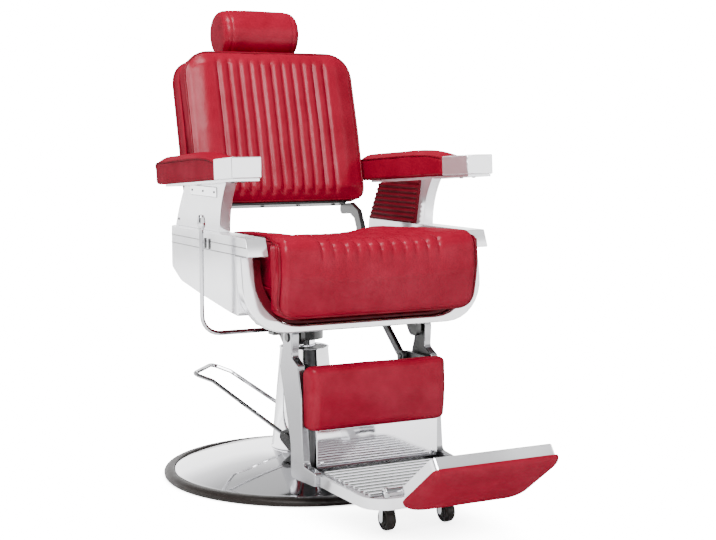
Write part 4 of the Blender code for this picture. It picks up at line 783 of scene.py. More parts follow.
def seat_rings():
    """Outlines of the seat across its width, and their places."""
    low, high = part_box("seat_cushion")
    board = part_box("seat_board")[1].z
    liner_low, liner_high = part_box("tub_liner")
    lip_half = high.x
    half = lip_half - SEAT_LIP
    top_at = high.z
    bottom = board + 0.0003
    inner = liner_high.x - 0.020
    corner = 0.095
    lip = [half + 0.0015 + (SEAT_LIP - 0.0015) * share for share in (0.0, 0.2, 0.4, 0.6, 0.78, 0.92, 1.0)]
    places = [-x for x in lip[::-1]] + across(half, 240, 0.25) + lip
    rings = []
    for place in places:
        reach = abs(place)
        inside = reach <= half
        depth_in = lip_half - reach
        tuck = SEAT_TUCK * (1 - smooth_step(depth_in / 0.030)) ** 2
        rise = smooth_step((reach - 0.08) / 0.11)
        top = top_at - SEAT_DISH * (1 - rise) - 1.4 * tuck
        front = low.y + tuck
        rear = high.y if inside else low.y + SEAT_LIP_DEPTH
        fall = SEAT_FALL if inside else 0.0
        beyond = max(reach - (inner - corner), 0.0)
        floor = liner_low.z + 0.010 + corner - math.sqrt(max(corner ** 2 - beyond ** 2, 0.0))
        foot = max(bottom, floor + 0.006) + 0.5 * tuck
        past = max(reach - (lip_half - SEAT_LIP_ROUND), 0.0)
        lip_foot = bottom - 0.006 + SEAT_LIP_ROUND - math.sqrt(max(SEAT_LIP_ROUND ** 2 - past ** 2, 0.0))
        lip_rear = min(low.y + 0.069, rear)
        outline = rounded([
            (rear, max(foot, lip_foot), 0.010),
            (rear, top - fall, 0.022),
            ((rear + front) / 2, top - 0.001 - 0.35 * fall, 0.30),
            (front + 0.005, top, 0.068),
            (front, (top + lip_foot) / 2, 0.060),
            (front + 0.014, lip_foot, 0.024),
            (lip_rear - 0.006, lip_foot + 0.002, 0.004),
            (lip_rear - 0.002, max(foot, lip_foot) + 0.001, 0.004),
        ], SEAT_ARC, SEAT_BETWEEN)
        narrowing = SEAT_REAR_NARROWING if inside else 0.0
        ring = []
        for y, z in outline:
            share = smooth_step((y - low.y - SEAT_LIP_DEPTH) / (high.y - low.y - SEAT_LIP_DEPTH))
            ring.append(Vector((place * (1 - narrowing * share), y, z)))
        rings.append(ring)
    return rings, places


class CHAIR_OT_seat(bpy.types.Operator):
    """Seat cushion with its sewn channels, welt and stitches"""
    bl_idname = "chair.seat"
    bl_label = "Seat cushion"

    def execute(self, context):
        rings, places = seat_rings()
        low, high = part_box("seat_cushion")
        depth = sizes().channel_depth * 0.9
        mesh = skin(rings)

        def sewn(place, normal):
            if normal.y > 0.4 or normal.z < -0.4:
                return 0.0
            fade = 0.06 + 0.94 * smooth_step((place.z - high.z + 0.075) / 0.050)
            back = smooth_step((high.y - 0.010 - place.y) / 0.030)
            narrow = 1 - SEAT_REAR_NARROWING * smooth_step(
                (place.y - low.y - SEAT_LIP_DEPTH) / (high.y - low.y - SEAT_LIP_DEPTH))
            full = smooth_step((high.x - abs(place.x)) / 0.04)
            seam = 0.0022 * math.exp(-((high.x - SEAT_WELT - abs(place.x)) / 0.0045) ** 2)
            return depth * channel_share(place.x / narrow) * fade * back + seam - puckers(place, 0.0012) * full

        press(mesh, sewn)
        cover = piece("seat_cover", mesh, "seat_frame", "red_vinyl", ["seat_cushion"], angle=50.0)

        arc = SEAT_ARC + 1 + SEAT_BETWEEN
        start = arc + SEAT_ARC // 2
        end = 5 * arc + SEAT_ARC // 2
        edges = []
        for sign in (-1, 1):
            side = sign * (high.x - SEAT_LIP - 0.006)
            rear_part = [p for p in along_ring(rings, places, side, start, end) if p.y > low.y + SEAT_LIP_DEPTH + 0.02]
            lip_part = along_ring(rings, places, sign * (high.x - SEAT_WELT), start, end)
            edges.append((rear_part, lip_part))
        bottom = [ring[end] for ring, place in zip(rings, places) if abs(place) < high.x - 0.009]
        path = edges[0][0] + edges[0][1] + bottom + edges[1][1][::-1] + edges[1][0][::-1]
        piping("seat_welt", [relaxed(evened(relaxed(path, 3), 0.004), 14)], 1.0, "seat_frame")
        rows = []
        for line in sewn_lines():
            row = along_ring(rings, places, line, arc + SEAT_ARC, 3 * arc + SEAT_ARC // 2)
            rows.append([p - Vector((0, 0, depth * 0.9)) for p in row])
        stitches("seat_stitches", rows, "seat_frame", "red_vinyl")
        repainted("seat_board")
        return {"FINISHED"}


# Back: sizes of the cushion's shape
BACK_CORNER = 0.065
BACK_FOOT_CORNER = 0.030
BACK_CROWN = 0.010
BACK_ARC = 7
BACK_BETWEEN = 10
BACK_ROLL = 0.016


def corner_drop(depth_in, radius):
    """How far a round corner falls short at a distance in from the side."""
    lack = max(radius - depth_in, 0.0)
    return radius - math.sqrt(max(radius ** 2 - lack ** 2, 0.0))


def back_rings():
    """Outlines of the back cushion across its width in the leaned frame, and their places."""
    low, high = tilted_box("back_cushion", BACK_LEAN)
    half = high.x
    rim = low.y + BACK_CROWN + 0.006
    places = across(half, 230, 0.45)
    rings = []
    for place in places:
        depth_in = half - abs(place)
        drop = corner_drop(depth_in, BACK_CORNER)
        rise = corner_drop(depth_in, BACK_FOOT_CORNER)
        tuck = 0.004 * (1 - smooth_step(depth_in / 0.020)) ** 2
        crown = (BACK_CROWN + 0.004) * smooth_step(depth_in / 0.055)
        top = high.z - 0.90 * drop + 0.0005
        foot = low.z + 0.90 * rise
        face = rim + tuck - crown
        outline = rounded([
            (high.y, foot, 0.003),
            (rim + tuck, foot, 0.008),
            (face, foot + 0.030, 0.034),
            (face - 0.003, (top + foot) / 2, 0.40),
            (face, top - 0.030, 0.034),
            (rim + tuck, top, 0.008),
            (high.y, top, 0.003),
        ], BACK_ARC, BACK_BETWEEN)
        ring = []
        for y, z in outline:
            ring.append(Vector((place, y, z)))
        rings.append(ring)
    return rings, places


def stacked(outline_at, layers, matrix):
    """A soft block through outlines at depths: outline_at gives the (x, z) outline for an inset."""
    rings = [[matrix @ Vector((x, depth, z)) for x, z in outline_at(inset)] for inset, depth in layers]
    return skin(rings)


class CHAIR_OT_back(bpy.types.Operator):
    """Back cushion with channels and welt, its padded shell, rail and brackets"""
    bl_idname = "chair.back"
    bl_label = "Back"

    def execute(self, context):
        self.cushion()
        self.shell()
        dressed("back_rail", 0.001)
        for side, _ in SIDES:
            dressed(side + "_back_bracket", 0.0018)
        return {"FINISHED"}

    def cushion(self):
        low, high = tilted_box("back_cushion", BACK_LEAN)
        upright = out_of_tilt(BACK_LEAN)
        rings, places = back_rings()
        depth = sizes().channel_depth * 1.2
        mesh = skin(rings)

        def sewn(place, normal):
            if normal.y > -0.3:
                return 0.0
            top = smooth_step((high.z - 0.012 - place.z) / 0.022)
            foot = smooth_step((place.z - low.z - 0.010) / 0.022)
            edge = smooth_step((high.x - 0.012 - abs(place.x)) / 0.04)
            return depth * channel_share(place.x) * top * foot - puckers(place, 0.0012) * edge

        press(mesh, sewn)
        mesh.transform(upright)
        cover = piece("back_cover", mesh, "backrest", "red_vinyl", ["back_cushion"], angle=50.0)

        arc = BACK_ARC + 1 + BACK_BETWEEN
        foot_edge = arc + BACK_ARC // 2
        top_edge = 5 * arc + BACK_ARC // 2
        inner = [i for i, place in enumerate(places) if abs(place) <= high.x - 0.0004]
        loop = [rings[i][top_edge] for i in inner]
        loop += rings[inner[-1]][top_edge:foot_edge:-1]
        loop += [rings[i][foot_edge] for i in inner[::-1]]
        loop += rings[inner[0]][foot_edge:top_edge]
        loop = [upright @ p for p in relaxed(evened(loop, 0.004, True), 8, True)]
        piping("back_welt", [loop], 1.0, "backrest", closed=True)
        rows = []
        for line in sewn_lines():
            row = along_ring(rings, places, line, 2 * arc + BACK_ARC // 2, 4 * arc + BACK_ARC // 2)
            row = [p + Vector((0, depth * 0.92, 0)) for p in row if low.z + 0.05 < p.z < high.z - 0.06]
            rows.append([upright @ p for p in row])
        stitches("back_stitches", rows, "backrest", "red_vinyl")

    def shell(self):
        low, high = tilted_box("back_shell", BACK_LEAN)
        half = high.x
        roll = BACK_ROLL

        def outline(inset):
            corner = max(BACK_CORNER - inset, 0.006)
            foot = max(0.022 - inset, 0.005)
            return rounded([(-half + inset, low.z + inset, foot), (half - inset, low.z + inset, foot),
                            (half - inset, high.z - inset, corner), (-half + inset, high.z - inset, corner)], 12, 6)

        layers = [(0.004, low.y), (0.001, low.y + 0.003), (0.0, low.y + 0.010)]
        for k in range(9):
            angle = math.pi / 2 * k / 8
            layers.append((roll * (1 - math.cos(angle)), high.y - roll * 1.15 + roll * math.sin(angle)))
        for share in (0.15, 0.4, 0.7):
            layers.append((roll + (half - roll) * share, high.y - roll * 0.15 + roll * 0.15 * smooth_step(share * 2)))
        mesh = stacked(outline, layers, out_of_tilt(BACK_LEAN))
        cover = piece("back_shell_cover", mesh, "backrest", "red_vinyl", ["back_shell"], angle=50.0)
        seam = [out_of_tilt(BACK_LEAN) @ Vector((x, high.y - roll * 1.3, z)) for x, z in outline(-0.0006)]
        piping("back_shell_welt", [seam], 0.7, "backrest", closed=True)


HEAD_SAG = 0.006                    # the bolster settles on the back's top edge
HEAD_SWELL = 0.005                  # and its foam stands out beyond the plain roll


class CHAIR_OT_head_rest(bpy.types.Operator):
    """Head bolster with its end seams, and its flat bar"""
    bl_idname = "chair.head_rest"
    bl_label = "Head rest"

    def execute(self, context):
        low, high = tilted_box("head_cushion", BACK_LEAN)
        middle = (low + high) / 2 - Vector((0, 0, HEAD_SAG))
        radius = (high.z - low.z) / 2 + HEAD_SWELL
        half = high.x
        seam = half - 0.020
        count = 96
        rings = []
        shares = [math.sin(math.pi / 2 * k / 40) for k in range(-40, 41)]
        for share in shares:
            place = half * share
            end = max(abs(place) - (half - 0.026), 0.0) / 0.026
            size = radius * (0.72 + 0.28 * math.sqrt(max(1 - end ** 2.4, 0.0)))
            size -= 0.0022 * math.exp(-((abs(place) - seam) / 0.0022) ** 2)
            size -= 0.0016 * (1 - smooth_step((half - abs(place)) / half))
            rings.append([Vector((place, middle.y + size * math.cos(math.tau * k / count),
                                  middle.z + size * math.sin(math.tau * k / count))) for k in range(count)])
        mesh = skin(rings)
        press(mesh, lambda place, normal: -puckers(place, 0.0008))
        mesh.transform(out_of_tilt(BACK_LEAN))
        cover = piece("head_cover", mesh, "headrest", "red_vinyl", ["head_cushion"], angle=60.0)
        dressed("head_bar", 0.001, look="drawn_rod")
        return {"FINISHED"}


# Arm pads: sizes of their shape
ARM_CROWN = 0.0225
ARM_TOE = 0.028
ARM_STATIONS = 70
PANEL_TRIM = 0.022                  # panels stop behind the round of the posts
ARM_ARC = 7
ARM_BETWEEN = 5


def arm_rings(side, sign):
    """Outlines of an arm pad from front to rear, in the sloped frame."""
    low, high = tilted_box(side + "_arm_pad", ARM_SLOPE)
    cap_low, cap_high = tilted_box(side + "_arm_cap", ARM_SLOPE)
    outer = max(abs(cap_low.x), abs(cap_high.x))
    inner = min(abs(cap_low.x), abs(cap_high.x)) + ARM_TOE * (cap_high.y - cap_low.y)
    width = (outer - inner) / 2
    thick = cap_high.z - cap_low.z
    rings = []
    for k in range(ARM_STATIONS + 1):
        share = 0.5 - 0.5 * math.cos(math.pi * k / ARM_STATIONS)
        crown = ARM_CROWN * (1 - (1 - min(share / 0.42, 1.0)) ** 2.6)
        end = (max(share - 0.90, 0.0) / 0.10) ** 2.4
        nose = (max(0.05 - share, 0.0) / 0.05) ** 2
        half = width * (1 - 0.32 * end - 0.05 * nose)
        foot = low.z + thick * 0.16 * end
        top = low.z + thick * (1 - 0.36 * end) + crown - 0.0025 * nose
        shoulder = top - 0.004 - 0.5 * crown
        outline = rounded([(-half, foot, 0.008), (half, foot, 0.008), (half, shoulder, 0.010),
                           (0.0, top + 0.004, 0.12), (-half, shoulder, 0.010)], ARM_ARC, ARM_BETWEEN)
        along = low.y + (high.y - low.y) * share
        middle = sign * ((outer + inner) / 2 - ARM_TOE * (along - cap_low.y))
        rings.append([Vector((middle + sign * u, along, v)) for u, v in outline])
    return rings


class CHAIR_OT_arms(bpy.types.Operator):
    """Arm pads with welts, chrome caps, posts and ribbed panels"""
    bl_idname = "chair.arms"
    bl_label = "Arm rests"

    def execute(self, context):
        level = out_of_tilt(ARM_SLOPE)
        arc = ARM_ARC + 1 + ARM_BETWEEN
        for side, sign in SIDES:
            rings = arm_rings(side, sign)
            mesh = skin(rings)
            press(mesh, lambda place, normal: -puckers(place, 0.0007))
            mesh.transform(level)
            cover = piece(side + "_arm_cover", mesh, "seat_frame", "red_vinyl", [side + "_arm_pad"], angle=50.0)
            lines = []
            for edge in (2 * arc + 3, 4 * arc + 3):
                lines.append([level @ ring[edge] for ring in rings])
            piping(side + "_arm_welts", lines, 0.85, "seat_frame")
            dressed(side + "_arm_cap", 0.0022)
            dressed(side + "_arm_post", 0.0024)
            panel = dressed(side + "_post_panel", 0.0)
            low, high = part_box(side + "_post_panel")
            for vertex in panel.data.vertices:
                vertex.co.y += PANEL_TRIM * (high.y - vertex.co.y) / (high.y - low.y)
        return {"FINISHED"}


class CHAIR_OT_tub(bpy.types.Operator):
    """Chrome front band, side panels, dark liner and the mounting plate"""
    bl_idname = "chair.tub"
    bl_label = "Tub"

    def execute(self, context):
        dressed("front_apron", 0.0040, 4)
        for side, _ in SIDES:
            dressed(side + "_side_panel", 0.0012, 2)
            dressed(side + "_recline_pin", 0.001)
        dressed("tub_liner", 0.004)
        dressed("seat_plate", 0.0)
        dressed("seat_hub", 0.0015)
        return {"FINISHED"}


def roll_points(centre, radius, start, end, steps):
    """Points of an arc about a centre, angles in degrees."""
    points = []
    for k in range(steps + 1):
        angle = math.radians(start + (end - start) * k / steps)
        points.append((centre[0] + radius * math.cos(angle), centre[1] + radius * math.sin(angle)))
    return points


class CHAIR_OT_base(bpy.types.Operator):
    """Domed chrome base, rubber edge ring, pump sleeve, gland and piston"""
    bl_idname = "chair.base"
    bl_label = "Base and pump"

    def execute(self, context):
        self.cover()
        self.ring()
        self.pump()
        repainted("base_plate", "pump_cylinder", "swivel_washer")
        return {"FINISHED"}

    def cover(self):
        low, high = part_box("base_cover")
        rim = high.x
        bore = 0.070
        sheet = 0.0025
        rim_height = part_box("base_ring")[1].z - sheet
        profile = []
        for k in range(33):
            share = k / 32
            height = rim_height + (high.z - rim_height) * (1 - share ** 1.6)
            profile.append((bore + (rim - 0.003 - bore) * share, height))
        profile += roll_points((rim - 0.003, rim_height - 0.003), 0.003, 90, 0, 5)
        profile += [(rim, low.z), (rim - sheet, low.z), (rim - sheet, rim_height - 0.004)]
        for k in range(13):
            share = 1 - k / 12
            height = rim_height + (high.z - rim_height) * (1 - share ** 1.6) - sheet
            profile.append((bore + (rim - sheet - 0.002 - bore) * share, height))
        piece("base_cover_finished", turned(profile, 224), "base", "chrome", ["base_cover"], angle=40.0)

    def ring(self):
        low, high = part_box("base_ring")
        outer = high.x
        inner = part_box("base_cover")[1].x + 0.0003
        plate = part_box("base_plate")[1]
        seat = plate.z + 0.0003
        step = plate.x + 0.0003
        profile = [(inner, seat), (inner, high.z - 0.002), (inner + 0.002, high.z)]
        for k in range(13):
            share = k / 12
            angle = math.pi / 2 * (1 - share)
            profile.append((inner + 0.008 + (outer - inner - 0.008) * math.cos(angle),
                            0.008 + (high.z - 0.008) * math.sin(angle)))
        profile += [(outer - 0.001, 0.003), (outer - 0.004, 0.0), (step, 0.0), (step, seat)]
        piece("base_ring_finished", turned(profile, 192), "base", "rubber", ["base_ring"], angle=40.0)

    def pump(self):
        low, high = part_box("pump_sleeve")
        top_radius = 0.057
        foot_radius = high.x
        sheet = 0.002
        profile = [(top_radius - sheet, high.z - 0.002)]
        profile += roll_points((top_radius - 0.0002, high.z - 0.0016), 0.0016, 150, 0, 8)
        profile += [(top_radius, high.z - 0.006)]
        profile += [(foot_radius - 0.0015, low.z + 0.008), (foot_radius + 0.0008, low.z + 0.0025), (foot_radius, low.z),
                    (foot_radius - sheet, low.z)]
        piece("pump_sleeve_finished", turned(profile, 160), "base", "chrome", ["pump_sleeve"], angle=40.0)
        dressed("pump_gland", 0.001)
        dressed("piston_rod", 0.001)


class CHAIR_OT_pedal(bpy.types.Operator):
    """Foot bar and its hubs"""
    bl_idname = "chair.pedal"
    bl_label = "Pedal"

    def execute(self, context):
        dressed("pedal_bar", 0.0, look="drawn_rod")
        dressed("front_pedal_hub", 0.0015)
        dressed("rear_pedal_hub", 0.0015)
        return {"FINISHED"}


class CHAIR_OT_linkage(bpy.types.Operator):
    """Links, lock, leg hangers and the recline lever"""
    bl_idname = "chair.linkage"
    bl_label = "Linkage and lever"

    def execute(self, context):
        for side, _ in SIDES:
            dressed(side + "_link", 0.0012)
            dressed(side + "_leg_hanger", 0.0012)
        dressed("recline_lock_cylinder", 0.001)
        dressed("recline_lock_rod", 0.0006)
        dressed("lever_bracket", 0.0015)
        dressed("lever_rod", 0.0, look="drawn_rod")
        self.knob()
        return {"FINISHED"}

    def knob(self):
        low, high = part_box("lever_knob")
        middle = (low + high) / 2
        radius = (high.x - low.x) / 2
        length = high.z - low.z
        profile = [(0.0, 0.0), (radius * 0.62, 0.0), (radius * 0.70, length * 0.04), (radius * 0.66, length * 0.10)]
        for k in range(17):
            share = k / 16
            profile.append((radius * (0.74 + 0.26 * math.sin(math.pi * (0.12 + 0.80 * share))),
                            length * (0.12 + 0.74 * share)))
        profile += [(radius * 0.70, length * 0.93), (radius * 0.40, length * 0.985), (0.0, length)]
        mesh = turned(profile, 48, Matrix.Translation((middle.x, middle.y, low.z)))
        piece("lever_knob_finished", mesh, "recline_lever", "chrome", ["lever_knob"], angle=50.0, look="drawn_rod")


class CHAIR_OT_leg_rest(bpy.types.Operator):
    """Calf pad, cast arms, kick plate and ribbed foot plate"""
    bl_idname = "chair.leg_rest"
    bl_label = "Leg rest"

    def execute(self, context):
        self.pad()
        for side, sign in SIDES:
            arm = dressed(side + "_leg_arm", 0.0028, 4, look="cast_alloy")
            # Painted shade: the arms' inner faces take black enamel, standing for the shade and dark reflection there.
            arm.data.materials.append(finish("black_steel"))
            for face in arm.data.polygons:
                if face.normal.x * sign < -0.9:
                    face.material_index = 1
            dressed(side + "_caster_fork", 0.0008)
        dressed("kick_plate", 0.0012)
        dressed("calf_board", 0.001)
        plate = dressed("foot_plate", 0.0, look="polished_alloy")
        # Painted shade: the grooves between the ribs take the darker aluminium.
        plate.data.materials.append(finish("cast_alloy"))
        tops = [face.center.z for face in plate.data.polygons if face.normal.z > 0.9]
        ridge = sorted(tops)[len(tops) // 2]
        for face in plate.data.polygons:
            if face.normal.z > 0.5 and face.center.z < ridge - 0.0006:
                face.material_index = 1
        self.wheels()
        return {"FINISHED"}

    def pad(self):
        low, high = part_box("calf_pad")
        half_top = high.x
        half_foot = half_top - 0.004
        rings = []
        shares = [0.5 - 0.5 * math.cos(math.pi * k / 90) for k in range(91)]
        for share in shares:
            depth_in = 2 * half_top * min(share, 1 - share)
            front = low.y + 0.9 * corner_drop(depth_in, 0.026)
            top = high.z - 0.8 * corner_drop(depth_in, 0.018)
            foot = low.z + 0.8 * corner_drop(depth_in, 0.012)
            outline = rounded([(high.y, foot, 0.003), (high.y, top, 0.008), (front + 0.006, top, 0.026),
                               (front, (top + foot) / 2, 0.20), (front + 0.005, foot, 0.016)], 10, 8)
            ring = []
            for y, z in outline:
                lift = (z - low.z) / (high.z - low.z)
                ring.append(Vector(((half_foot + (half_top - half_foot) * lift) * (2 * share - 1), y, z)))
            rings.append(ring)
        mesh = skin(rings)
        press(mesh, lambda place, normal: -puckers(place, 0.0009))
        cover = piece("calf_cover", mesh, "legrest", "red_vinyl", ["calf_pad"], angle=50.0)

    def wheels(self):
        for side, _ in SIDES:
            node = side + "_wheel"
            low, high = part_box(node)
            middle = (low + high) / 2
            radius = (high.z - low.z) / 2
            half = (high.x - low.x) / 2
            bore = 0.0046
            half_profile = [(bore, half * 0.92), (radius * 0.30, half), (radius * 0.50, half * 0.96),
                            (radius * 0.56, half * 0.70), (radius * 0.76, half * 0.66), (radius * 0.84, half * 0.90)]
            half_profile += [(radius * (0.84 + 0.16 * math.sin(math.pi / 2 * k / 6)),
                              half * (0.40 + 0.50 * math.cos(math.pi / 2 * k / 6))) for k in range(1, 7)]
            profile = half_profile + [(r, -h) for r, h in half_profile[::-1]]
            frame_at = Matrix.Translation(middle) @ Matrix.Rotation(math.pi / 2, 4, "Y")
            piece(node + "_finished", turned(profile, 72, frame_at), BODY_OF[node], "rubber", [node], angle=40.0)


# Flap: corners of its pad, at the far edge and at the hinge
FLAP_CORNER = 0.016
FLAP_HIP = 0.040


class CHAIR_OT_flap(bpy.types.Operator):
    """Folding flap: its pan and its crowned pad"""
    bl_idname = "chair.flap"
    bl_label = "Flap"

    def execute(self, context):
        dressed("flap_pan", 0.0014)
        low, high = tilted_box("flap_pad", FLAP_TILT)
        pan_low, pan_high = tilted_box("flap_pan", FLAP_TILT)
        half = high.x
        near = high.y
        far = low.y
        rim = pan_low.z - 0.0003
        swell = rim - low.z

        def outline(inset):
            corner = max(FLAP_CORNER - inset * 0.6, 0.006)
            hip = max(FLAP_HIP - inset * 0.3, 0.010)
            return rounded([(-half + inset, far + inset, corner), (half - inset, far + inset, corner),
                            (half - inset, near - inset, hip), (-half + inset, near - inset, hip)], 12, 30)

        back = out_of_tilt(FLAP_TILT)
        rings = []
        for k in range(30):
            angle = math.pi / 2 * k / 29
            inset = 0.080 * (1 - math.cos(angle))
            fall = swell * math.sin(angle) ** 0.85
            rings.append([back @ Vector((x, y, rim - fall)) for x, y in outline(inset)])
        mesh = skin(rings)
        cover = piece("flap_cover", mesh, "flap", "red_vinyl", ["flap_pad"], angle=60.0)
        return {"FINISHED"}


def block(name, low, high, width, body, slot):
    """A plate or block between two corners, its edges eased."""
    made = bmesh.new()
    bmesh.ops.create_cube(made, size=1.0)
    for vertex in made.verts:
        vertex.co = Vector([low[i] if vertex.co[i] < 0 else high[i] for i in range(3)])
    mesh = bpy.data.meshes.new(name)
    made.to_mesh(mesh)
    made.free()
    obj = piece(name, mesh, body, slot)
    step = obj.modifiers.new("eased_edges", "BEVEL")
    step.width = width
    step.segments = 2
    step.harden_normals = True
    return obj


# Arm plates on the posts' outer faces (front, rear, foot, top), heights of the rails' seams with their painted shade
# lines, ends of the flap's pins
POST_FACE = 0.267
PLATE = (-0.126, 0.030, 0.660, 0.681)
PLATE_THICK = 0.0016
RAIL_SHADE_LINES = (0.5475, 0.5655)
RAIL_ROUND = 0.045
KEEPERS = (-0.136, -0.112)          # dark clips on the left rail, beside the lever
PIN_REACH = (0.089, 0.126)
PIN_RADIUS = 0.0085


class CHAIR_OT_fasteners(bpy.types.Operator):
    """Arm plates with painted shade lines round them, rail seams with painted shade lines, hinge pins and the screws of
    caps, posts, back rail and kick plate
    """
    bl_idname = "chair.fasteners"
    bl_label = "Fasteners"

    def execute(self, context):
        self.arms()
        self.rails()
        self.hinge()
        radius = sizes().screw
        low, high = tilted_box("back_rail", BACK_LEAN)
        upright = out_of_tilt(BACK_LEAN)
        down = upright.to_3x3() @ Vector((0, 0, -1))
        rail = []
        for k in range(4):
            x = (low.x + 0.03) * (1 - 2 * k / 3)
            rail.append((upright @ Vector((x, (low.y + high.y) / 2, low.z)), down, radius * 1.2))
        screws("back_rail_screws", rail, "backrest", "black_steel")

        low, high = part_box("kick_plate")
        kick = [(Vector((sign * (high.x - 0.012), low.y, low.z + 0.012)), (0, -1, 0), radius * 0.9)
                for sign in (-1, 1)]
        screws("kick_plate_screws", kick, "legrest", "chrome")
        return {"FINISHED"}

    def arms(self):
        radius = sizes().screw
        level = out_of_tilt(ARM_SLOPE)
        under = level.to_3x3() @ Vector((0, 0, -1))
        front, rear, foot, top = PLATE
        places = []
        for side, sign in SIDES:
            low, high = tilted_box(side + "_arm_cap", ARM_SLOPE)
            middle = (low.x + high.x) / 2
            for share in (0.25, 0.75):
                place = Vector((middle, low.y + (high.y - low.y) * share, low.z - 0.0057))
                places.append((level @ place, under, radius))
            inner, outer = sorted((sign * (POST_FACE - 0.0004), sign * (POST_FACE + PLATE_THICK)))
            block(side + "_arm_plate", (inner, front, foot), (outer, rear, top), 0.0006, "seat_frame", "chrome")
            corners = [(front, foot), (rear, foot), (rear, top), (front, top)]
            edge = [Vector((sign * POST_FACE, y, z)) for y, z in corners]
            # Painted shade: a black cord round the plate stands for the shade in the gap at its edge.
            cord(side + "_arm_plate_seam", [edge], 0.0011, "seat_frame", "black_steel", closed=True, sides=6)
            for share in (0.08, 0.5, 0.92):
                place = (sign * (POST_FACE + PLATE_THICK), front + (rear - front) * share, (foot + top) / 2)
                places.append((place, (sign, 0, 0), radius * 0.62))
            places.append(((sign * POST_FACE, 0.108, 0.600), (sign, 0, 0), radius * 0.7))
        screws("arm_screws", places, "seat_frame", "chrome", look="black_steel")

    def rails(self):
        """Dark seams where the rails meet the side panels, round the tub's rear corners: black cords that paint the
        shade in the gap.
        """
        for side, sign in SIDES:
            low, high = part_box(side + "_side_panel")
            outer = max(abs(low.x), abs(high.x))
            lines = []
            for height in RAIL_SHADE_LINES:
                line = [Vector((sign * outer, low.y + 0.012, height))]
                for k in range(13):
                    angle = math.pi / 2 * k / 12
                    line.append(Vector((sign * (outer - RAIL_ROUND * (1 - math.cos(angle))),
                                        high.y + 0.002 - RAIL_ROUND * (1 - math.sin(angle)), height)))
                lines.append(line[:-2])
            cord(side + "_rail_seams", lines, 0.0009, "seat_frame", "black_steel", sides=6)
        low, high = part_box("left_side_panel")
        for k, front in enumerate(KEEPERS):
            block(f"lever_keeper_{k}", (low.x - 0.0025, front, RAIL_SHADE_LINES[0] + 0.002),
                  (low.x + 0.001, front + 0.006, RAIL_SHADE_LINES[1] + 0.006), 0.0006, "seat_frame", "black_steel")

    def hinge(self):
        """Pin ends with their screws beside the flap's hinge lugs."""
        pivot = Vector(JOINT["flap_fold"]["pos_m"])
        pins = []
        ends = []
        for _, sign in SIDES:
            near, far = (pivot + Vector((sign * reach, 0, 0)) for reach in PIN_REACH)
            pins.append([near, far])
            ends.append((far, (sign, 0, 0), PIN_RADIUS * 1.25))
        cord("flap_pins", pins, PIN_RADIUS, "flap", "chrome", sides=24, look="drawn_rod")
        screws("flap_pin_screws", ends, "flap", "chrome", look="drawn_rod")


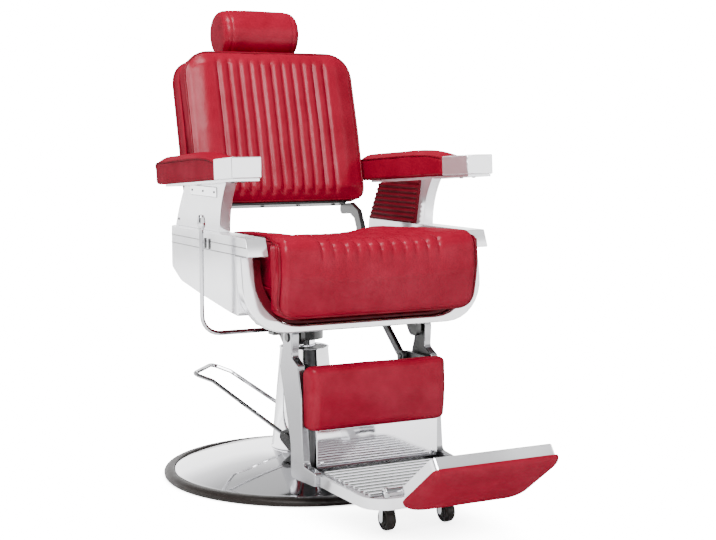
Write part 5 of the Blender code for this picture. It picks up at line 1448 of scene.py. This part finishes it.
class CHAIR_OT_stage(bpy.types.Operator):
    """Pale floor, soft studio light and the photograph's camera"""
    bl_idname = "chair.stage"
    bl_label = "Stage"

    def execute(self, context):
        scene = context.scene
        made = bmesh.new()
        bmesh.ops.create_circle(made, cap_ends=True, segments=96, radius=14.0)
        mesh = bpy.data.meshes.new("studio_floor")
        made.to_mesh(mesh)
        made.free()
        mesh.materials.append(finish("floor"))
        floor = bpy.data.objects.new("studio_floor", mesh)
        floor.location.z = -0.0005
        scene.collection.objects.link(floor)
        self.world(scene)
        for name, place, aim, size, power in (
                ("key_softbox", (-1.8, -2.6, 2.7), (0.0, -0.1, 0.65), (1.5, 1.5), 185.0),
                ("fill_softbox", (2.8, -1.6, 2.2), (0.0, -0.1, 0.6), (2.2, 2.2), 10.0),
                ("top_softbox", (-0.6, -0.4, 3.0), (0.0, -0.1, 0.0), (0.9, 0.9), 75.0)):
            light = bpy.data.lights.new(name, "AREA")
            light.shape = "RECTANGLE"
            light.size, light.size_y = size
            light.energy = power
            lamp = bpy.data.objects.new(name, light)
            lamp.location = place
            lamp.rotation_euler = (Vector(aim) - Vector(place)).to_track_quat("-Z", "Y").to_euler()
            scene.collection.objects.link(lamp)
        lens = bpy.data.cameras.new("photo_camera")
        lens.sensor_fit = "HORIZONTAL"
        lens.sensor_width = SENSOR_WIDTH
        lens.lens = CAMERA_LENS
        camera = bpy.data.objects.new("photo_camera", lens)
        camera.location = CAMERA_PLACE
        camera.rotation_euler = (CAMERA_PITCH, 0.0, CAMERA_YAW)
        scene.collection.objects.link(camera)
        scene.camera = camera
        return {"FINISHED"}

    def world(self, scene):
        """A white studio with dark flags, which give chrome its contrast."""
        world = bpy.data.worlds.new("studio_world")
        world.use_nodes = True
        tree = world.node_tree
        tree.nodes.clear()
        way = add(tree, "ShaderNodeTexCoord").outputs["Generated"]
        parts = add(tree, "ShaderNodeSeparateXYZ", {"Vector": way}).outputs
        turn = add(tree, "ShaderNodeMath", {0: parts["Y"], 1: parts["X"]}, operation="ARCTAN2")
        round_about = ramp(tree, turn.outputs["Value"], -math.pi, math.pi,
                           [(math.radians(azimuth), tone) for azimuth, tone in ROUND])
        sky = ramp(tree, parts["Z"], 0.0, 1.0, SKY)
        over = add(tree, "ShaderNodeMapRange", {"Value": parts["Z"], "From Min": 0.45, "From Max": 0.75})
        upper = add(tree, "ShaderNodeMix", {"Factor": over.outputs["Result"], "A": round_about,
                                            "B": (1.0, 1.0, 1.0, 1.0)}, data_type="RGBA")
        mirror = add(tree, "ShaderNodeMix", {"Factor": 1.0, "A": upper.outputs["Result"], "B": sky},
                     data_type="RGBA", blend_type="MULTIPLY")
        lit = add(tree, "ShaderNodeBackground", {"Color": (1.0, 1.0, 1.0, 1.0), "Strength": AMBIENT})
        mirrored = add(tree, "ShaderNodeBackground", {"Color": mirror.outputs["Result"], "Strength": MIRRORED})
        white = add(tree, "ShaderNodeBackground", {"Color": (1.0, 1.0, 1.0, 1.0), "Strength": BACKDROP})
        seen = add(tree, "ShaderNodeLightPath").outputs
        both = add(tree, "ShaderNodeMixShader", {0: seen["Is Glossy Ray"], 1: lit.outputs[0],
                                                 2: mirrored.outputs[0]})
        whole = add(tree, "ShaderNodeMixShader", {0: seen["Is Camera Ray"], 1: both.outputs[0],
                                                  2: white.outputs[0]})
        add(tree, "ShaderNodeOutputWorld", {"Surface": whole.outputs[0]})
        scene.world = world


class CHAIR_PT_panel(bpy.types.Panel):
    """Sizes, colours and pieces of the chair"""
    bl_idname = "CHAIR_PT_panel"
    bl_label = "Barber chair"
    bl_space_type = "VIEW_3D"
    bl_region_type = "UI"
    bl_category = "Chair"

    def draw(self, context):
        for group in (sizes(), colours()):
            for name in group.__annotations__:
                self.layout.prop(group, name)
        for operator in OPERATORS:
            self.layout.operator(operator.bl_idname)


OPERATORS = (CHAIR_OT_base, CHAIR_OT_pedal, CHAIR_OT_tub, CHAIR_OT_arms, CHAIR_OT_seat, CHAIR_OT_back,
             CHAIR_OT_head_rest, CHAIR_OT_linkage, CHAIR_OT_leg_rest, CHAIR_OT_flap, CHAIR_OT_fasteners,
             CHAIR_OT_stage)
CLASSES = (ChairColours, ChairSizes, *OPERATORS, CHAIR_PT_panel)


def register():
    for cls in CLASSES:
        bpy.utils.register_class(cls)
    bpy.types.Scene.chair_colours = PointerProperty(type=ChairColours)
    bpy.types.Scene.chair_sizes = PointerProperty(type=ChairSizes)


def unregister():
    del bpy.types.Scene.chair_sizes
    del bpy.types.Scene.chair_colours
    for cls in reversed(CLASSES):
        bpy.utils.unregister_class(cls)


def main():
    register()
    bpy.ops.chair.base()
    bpy.ops.chair.pedal()
    bpy.ops.chair.tub()
    bpy.ops.chair.arms()
    bpy.ops.chair.seat()
    bpy.ops.chair.back()
    bpy.ops.chair.head_rest()
    bpy.ops.chair.linkage()
    bpy.ops.chair.leg_rest()
    bpy.ops.chair.flap()
    bpy.ops.chair.fasteners()
    bpy.ops.chair.stage()


if __name__ == "__main__":
    main()
